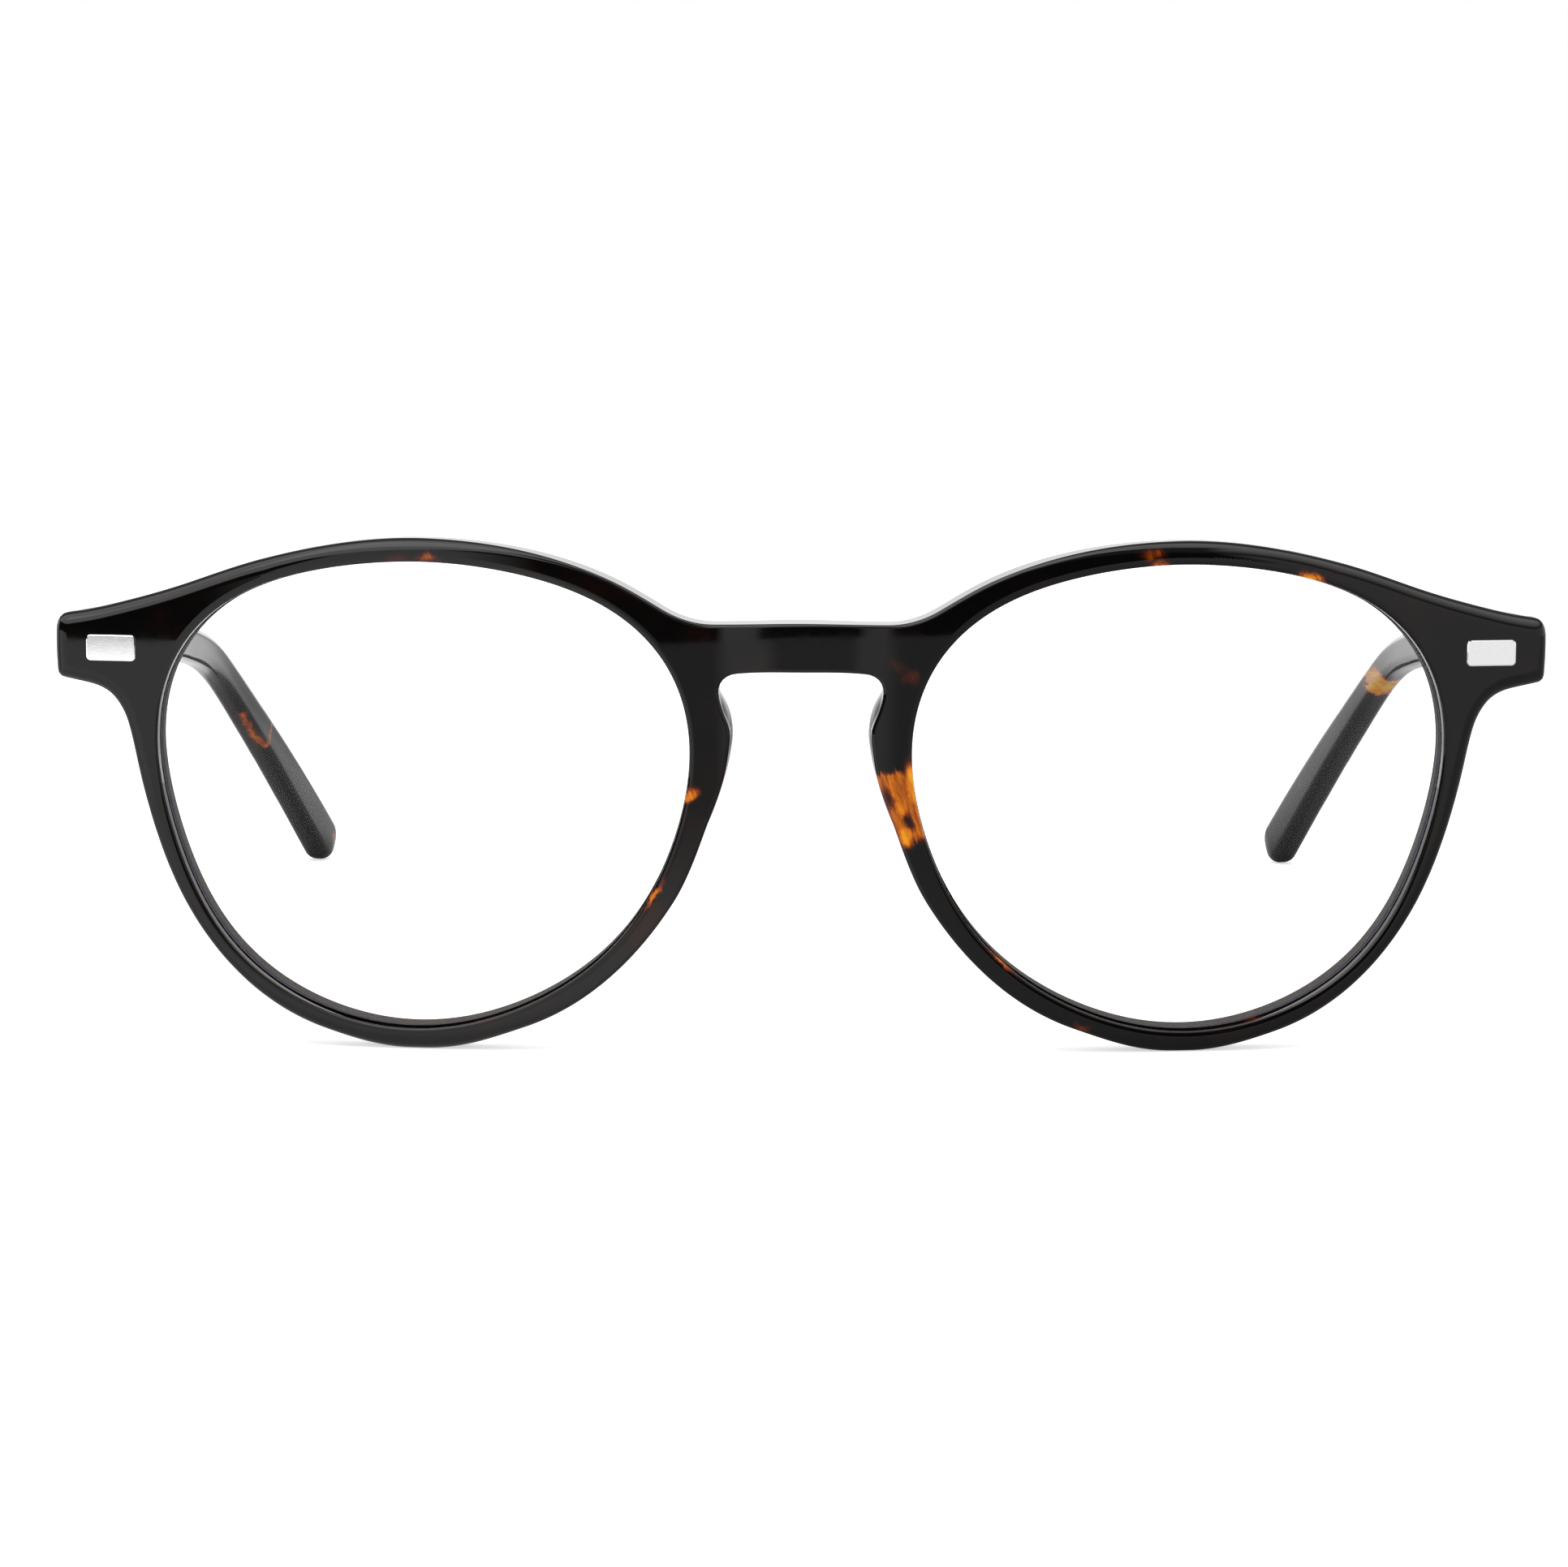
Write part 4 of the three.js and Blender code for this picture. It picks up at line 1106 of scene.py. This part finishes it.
def clear_lens():
    """Clear plastic that lets light through to the shadow."""
    material, nodes, shader = new_material("clear_lens")
    cast = nodes.noise(nodes.position(1 / MM), *LENS_NOISE)
    nodes.set(shader, {
        "Base Color": nodes.ramp(cast, [(0, LENS_CAST), (1, (1, 1, 1))]),
        "Transmission Weight": 1,
        "IOR": LENS_IOR,
        "Roughness": 0,
        "Specular Tint": (*LENS_COATING, 1),
    })
    is_shadow = nodes.node("LightPath", {}).outputs["Is Shadow Ray"]
    passing = nodes.node("BsdfTransparent", {}).outputs["BSDF"]
    mix = nodes.node("MixShader", {0: is_shadow, 1: shader.outputs["BSDF"], 2: passing})
    output = next(node for node in nodes.tree.nodes if node.type == "OUTPUT_MATERIAL")
    nodes.set(output, {"Surface": mix.outputs["Shader"]})
    return material


def metal(name, colour, rough, grain):
    """Metal with fine tool marks."""
    material, nodes, shader = new_material(name)
    marks = nodes.noise(nodes.vector("MULTIPLY", nodes.position(1 / MM), grain), *TOOL_NOISE)
    darker = tuple(TOOL_DARKER * part for part in colour)
    roughness = [level * rough for level in TOOL_ROUGHNESS]
    bump = nodes.node("Bump", {"Height": marks, "Strength": TOOL_BUMP * rough, "Distance": TOOL_DEPTH * MM})
    nodes.set(shader, {
        "Base Color": nodes.ramp(marks, [(MARKS_DARK_AT, darker), (MARKS_LIGHT_AT, colour)]),
        "Roughness": nodes.spread(marks, NOISE_LOW, NOISE_HIGH, *roughness),
        "Normal": bump.outputs["Normal"],
        "Metallic": 1,
    })
    return material


# Stage

def table_reflection(nodes, place):
    """Light that gloss gets from the table: dim under the object, bright behind it, uneven in front of it."""
    x, y, _ = nodes.parts(place)
    ahead = nodes.math("MAXIMUM", nodes.math("MULTIPLY", y, -1), -NEAR_TO)
    far = nodes.grey_ramp(nodes.math("DIVIDE", x, ahead), -TABLE_SPREAD, TABLE_SPREAD, FAR_TABLE)
    near = nodes.grey_ramp(x, -TABLE_SPREAD, TABLE_SPREAD, NEAR_TABLE)
    plain = nodes.math("MULTIPLY", nodes.spread(y, *TIPS_RANGE), nodes.spread(x, *LEFT_SHADE_RANGE))
    near = nodes.blend(nodes.spread(y, *NEAR_RANGE), near, plain)
    return nodes.blend(nodes.spread(y, *FAR_RANGE), far, near)


def floor_material():
    """White surface that keeps the object's shadow and fills up to white for the eye."""
    material, nodes, shader = new_material("white_floor")
    place = nodes.position(1)
    seen, is_gloss = nodes.light()
    shade = nodes.spread(nodes.noise(place, *TABLE_NOISE), *TABLE_SHADE_RANGE)
    away = nodes.vector("LENGTH", place, (0, 0, 0))
    fill = nodes.math("MULTIPLY", seen, nodes.spread(away, *FILL_RANGE))
    gloss = nodes.math("MULTIPLY", is_gloss, table_reflection(nodes, place))
    nodes.set(shader, {
        "Base Color": nodes.math("MULTIPLY", shade, nodes.spread(is_gloss, *GLOSS_SHADE_RANGE)),
        "Roughness": TABLE_ROUGHNESS,
        "Specular IOR Level": 0,
        "Emission Strength": nodes.math("MAXIMUM", fill, gloss),
        "Emission Color": WHITE,
    })
    return material


def add_floor():
    corners = [(-TABLE_SIDE, TABLE_CORNER, 0), (0, TABLE_FRONT, 0), (TABLE_SIDE, TABLE_FRONT, 0)]
    corners += [(TABLE_SIDE, TABLE_BACK, 0), (-TABLE_SIDE, TABLE_BACK, 0)]
    floor = add_object("floor", new_mesh("floor", corners, [range(len(corners))]))
    floor.data.materials.append(floor_material())


def softbox(nodes, x, z):
    """The light above in front: wide at the left, a strip overhead at the right and a soft end far out."""
    far_right = nodes.math("MULTIPLY", nodes.spread(x, *FAR_RIGHT_RANGE), nodes.spread(z, *FAR_RIGHT_RISE))
    right = nodes.math("MAXIMUM", nodes.spread(z, *OVERHEAD_RANGE), far_right)
    return nodes.blend(nodes.spread(x, *SOFTBOX_LEFT_RANGE), SOFTBOX_LEVEL, right)


def add_world():
    """White surroundings; what gloss shows of them is a soft light above and a darker room in front."""
    world = bpy.data.worlds.new("white_room")
    bpy.context.scene.world = world
    world.use_nodes = True
    nodes = Nodes(world)
    x, y, z = nodes.parts(nodes.node("TexCoord", {}).outputs["Generated"])
    front = nodes.spread(y, *FRONT_RANGE)
    dark = nodes.math("MULTIPLY", front, nodes.spread(z, *DARK_RANGE))
    bright = nodes.blend(front, softbox(nodes, x, z), nodes.spread(z, *BEHIND_RANGE))
    gloss = nodes.blend(dark, nodes.grey_ramp(x, -1, 1, ROOM_FRONT), bright)
    seen, is_gloss = nodes.light()
    plain = nodes.spread(seen, *ROOM_RANGE)
    background = world.node_tree.nodes["Background"]
    nodes.set(background, {"Color": WHITE, "Strength": nodes.blend(is_gloss, gloss, plain)})


def add_lamp():
    """A soft light high in front, at the left of the picture."""
    light = bpy.data.lights.new("key", "AREA")
    light.energy = LAMP_ENERGY
    light.size = LAMP_SIZE
    lamp = add_object("key", light)
    lamp.location = LAMP_PLACE
    x, y, z = np.array(LAMP_AIM) - np.array(LAMP_PLACE)
    lamp.rotation_euler = (math.atan2(np.hypot(x, y), -z), 0, math.atan2(y, x) - math.pi / 2)


def add_camera():
    """The photograph's view: a little above the front, on its middle."""
    camera = bpy.data.cameras.new("camera")
    camera.sensor_fit = "HORIZONTAL"
    camera.sensor_width = SENSOR_WIDTH
    camera.lens = SENSOR_WIDTH * PHOTO_SCALE * VIEW_DISTANCE / PHOTO_WIDTH
    camera.shift_x = (PHOTO_WIDTH / 2 - PHOTO_MIDDLE_X) / PHOTO_WIDTH
    camera.clip_start = VIEW_STARTS_AT
    eye = add_object("camera", camera)
    back = VIEW_DISTANCE * math.cos(VIEW_PITCH)
    lift = VIEW_DISTANCE * math.sin(VIEW_PITCH)
    eye.location = (0, (SHIFT_Y - back) * MM, (VIEW_HEIGHT + lift) * MM)
    eye.rotation_mode = "XYZ"
    eye.rotation_euler = (math.pi / 2 - VIEW_PITCH, VIEW_ROLL, 0)
    bpy.context.scene.camera = eye


# Whole object

def dress(piece, material, edge_material=None, edge_faces=()):
    """The piece's material, and another one for some of its faces."""
    piece.data.materials.clear()
    piece.data.materials.append(material)
    if edge_material:
        piece.data.materials.append(edge_material)
        for face in edge_faces:
            piece.data.polygons[face].material_index = 1


def on_front(patches):
    """Patches given by x and z on the front, taken to its place in depth."""
    placed = []
    for x, z, half_length, half_width, tilt, strength in patches:
        y = float(formed(x, 0, z)[1] / MM)
        placed.append(((x, y, z), (half_length, PATCH_HALF_DEPTH, half_width), tilt, strength))
    return placed


def on_temple(patches):
    """Patches of a temple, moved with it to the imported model's place."""
    return [((x, y + SHIFT_Y, z), sizes, 0, strength) for (x, y, z), sizes, strength in patches]


def streak_patches(way):
    """Round patches close together along a streak."""
    way = np.array(way, float)
    running = running_length(way)
    middles = places_along(way, running, np.linspace(0, running[-1], STREAK_PATCHES))
    return [(tuple(middle), (STREAK_HALF_WIDTH,) * 3, STREAK_STRENGTH) for middle in middles]


def build():
    right_patches = RIGHT_TEMPLE_PATCHES + streak_patches(RIGHT_TEMPLE_STREAK)
    front_tortoise = tortoise("tortoise_front", on_front(FRONT_PATCHES), FRONT_LOOK)
    temple_tortoise = {
        "left": tortoise("tortoise_temple_left", on_temple(LEFT_TEMPLE_PATCHES), TEMPLE_LOOK),
        "right": tortoise("tortoise_temple_right", on_temple(right_patches), TEMPLE_LOOK),
    }
    lens = clear_lens()
    metals = {name: metal(name, *look) for name, look in METALS.items()}
    front, milled = front_piece()
    dress(front, front_tortoise, matt_edge("milled_groove", GROOVE_COLOUR), milled)
    # The lens edge's dark grey is painted shade of the groove round it, on a real unpolished edge
    lens_edge_painted_shade = matt_edge("lens_edge_painted_shade", LENS_EDGE_SHADE_COLOUR)
    for side, name in ((1, "left"), (-1, "right")):
        glass, edge = lens_piece(side, name)
        dress(glass, lens, lens_edge_painted_shade, edge)
        dress(pad_piece(side, name), front_tortoise)
        dress(plaque_piece(side, name), metals["bright_plaque"])
        dress(temple_piece(side, name), temple_tortoise[name])
        dress(front_hinge(side, name), metals["nickel_silver"])
        dress(temple_hinge(side, name), metals["nickel_silver"])
        dress(screw_piece(side, name), metals["screw_steel"])
        dress(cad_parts[f"temple_core_{name}"], metals["core_steel"])


build()
add_floor()
add_world()
add_lamp()
add_camera()
bpy.context.scene.view_settings.view_transform = "Standard"
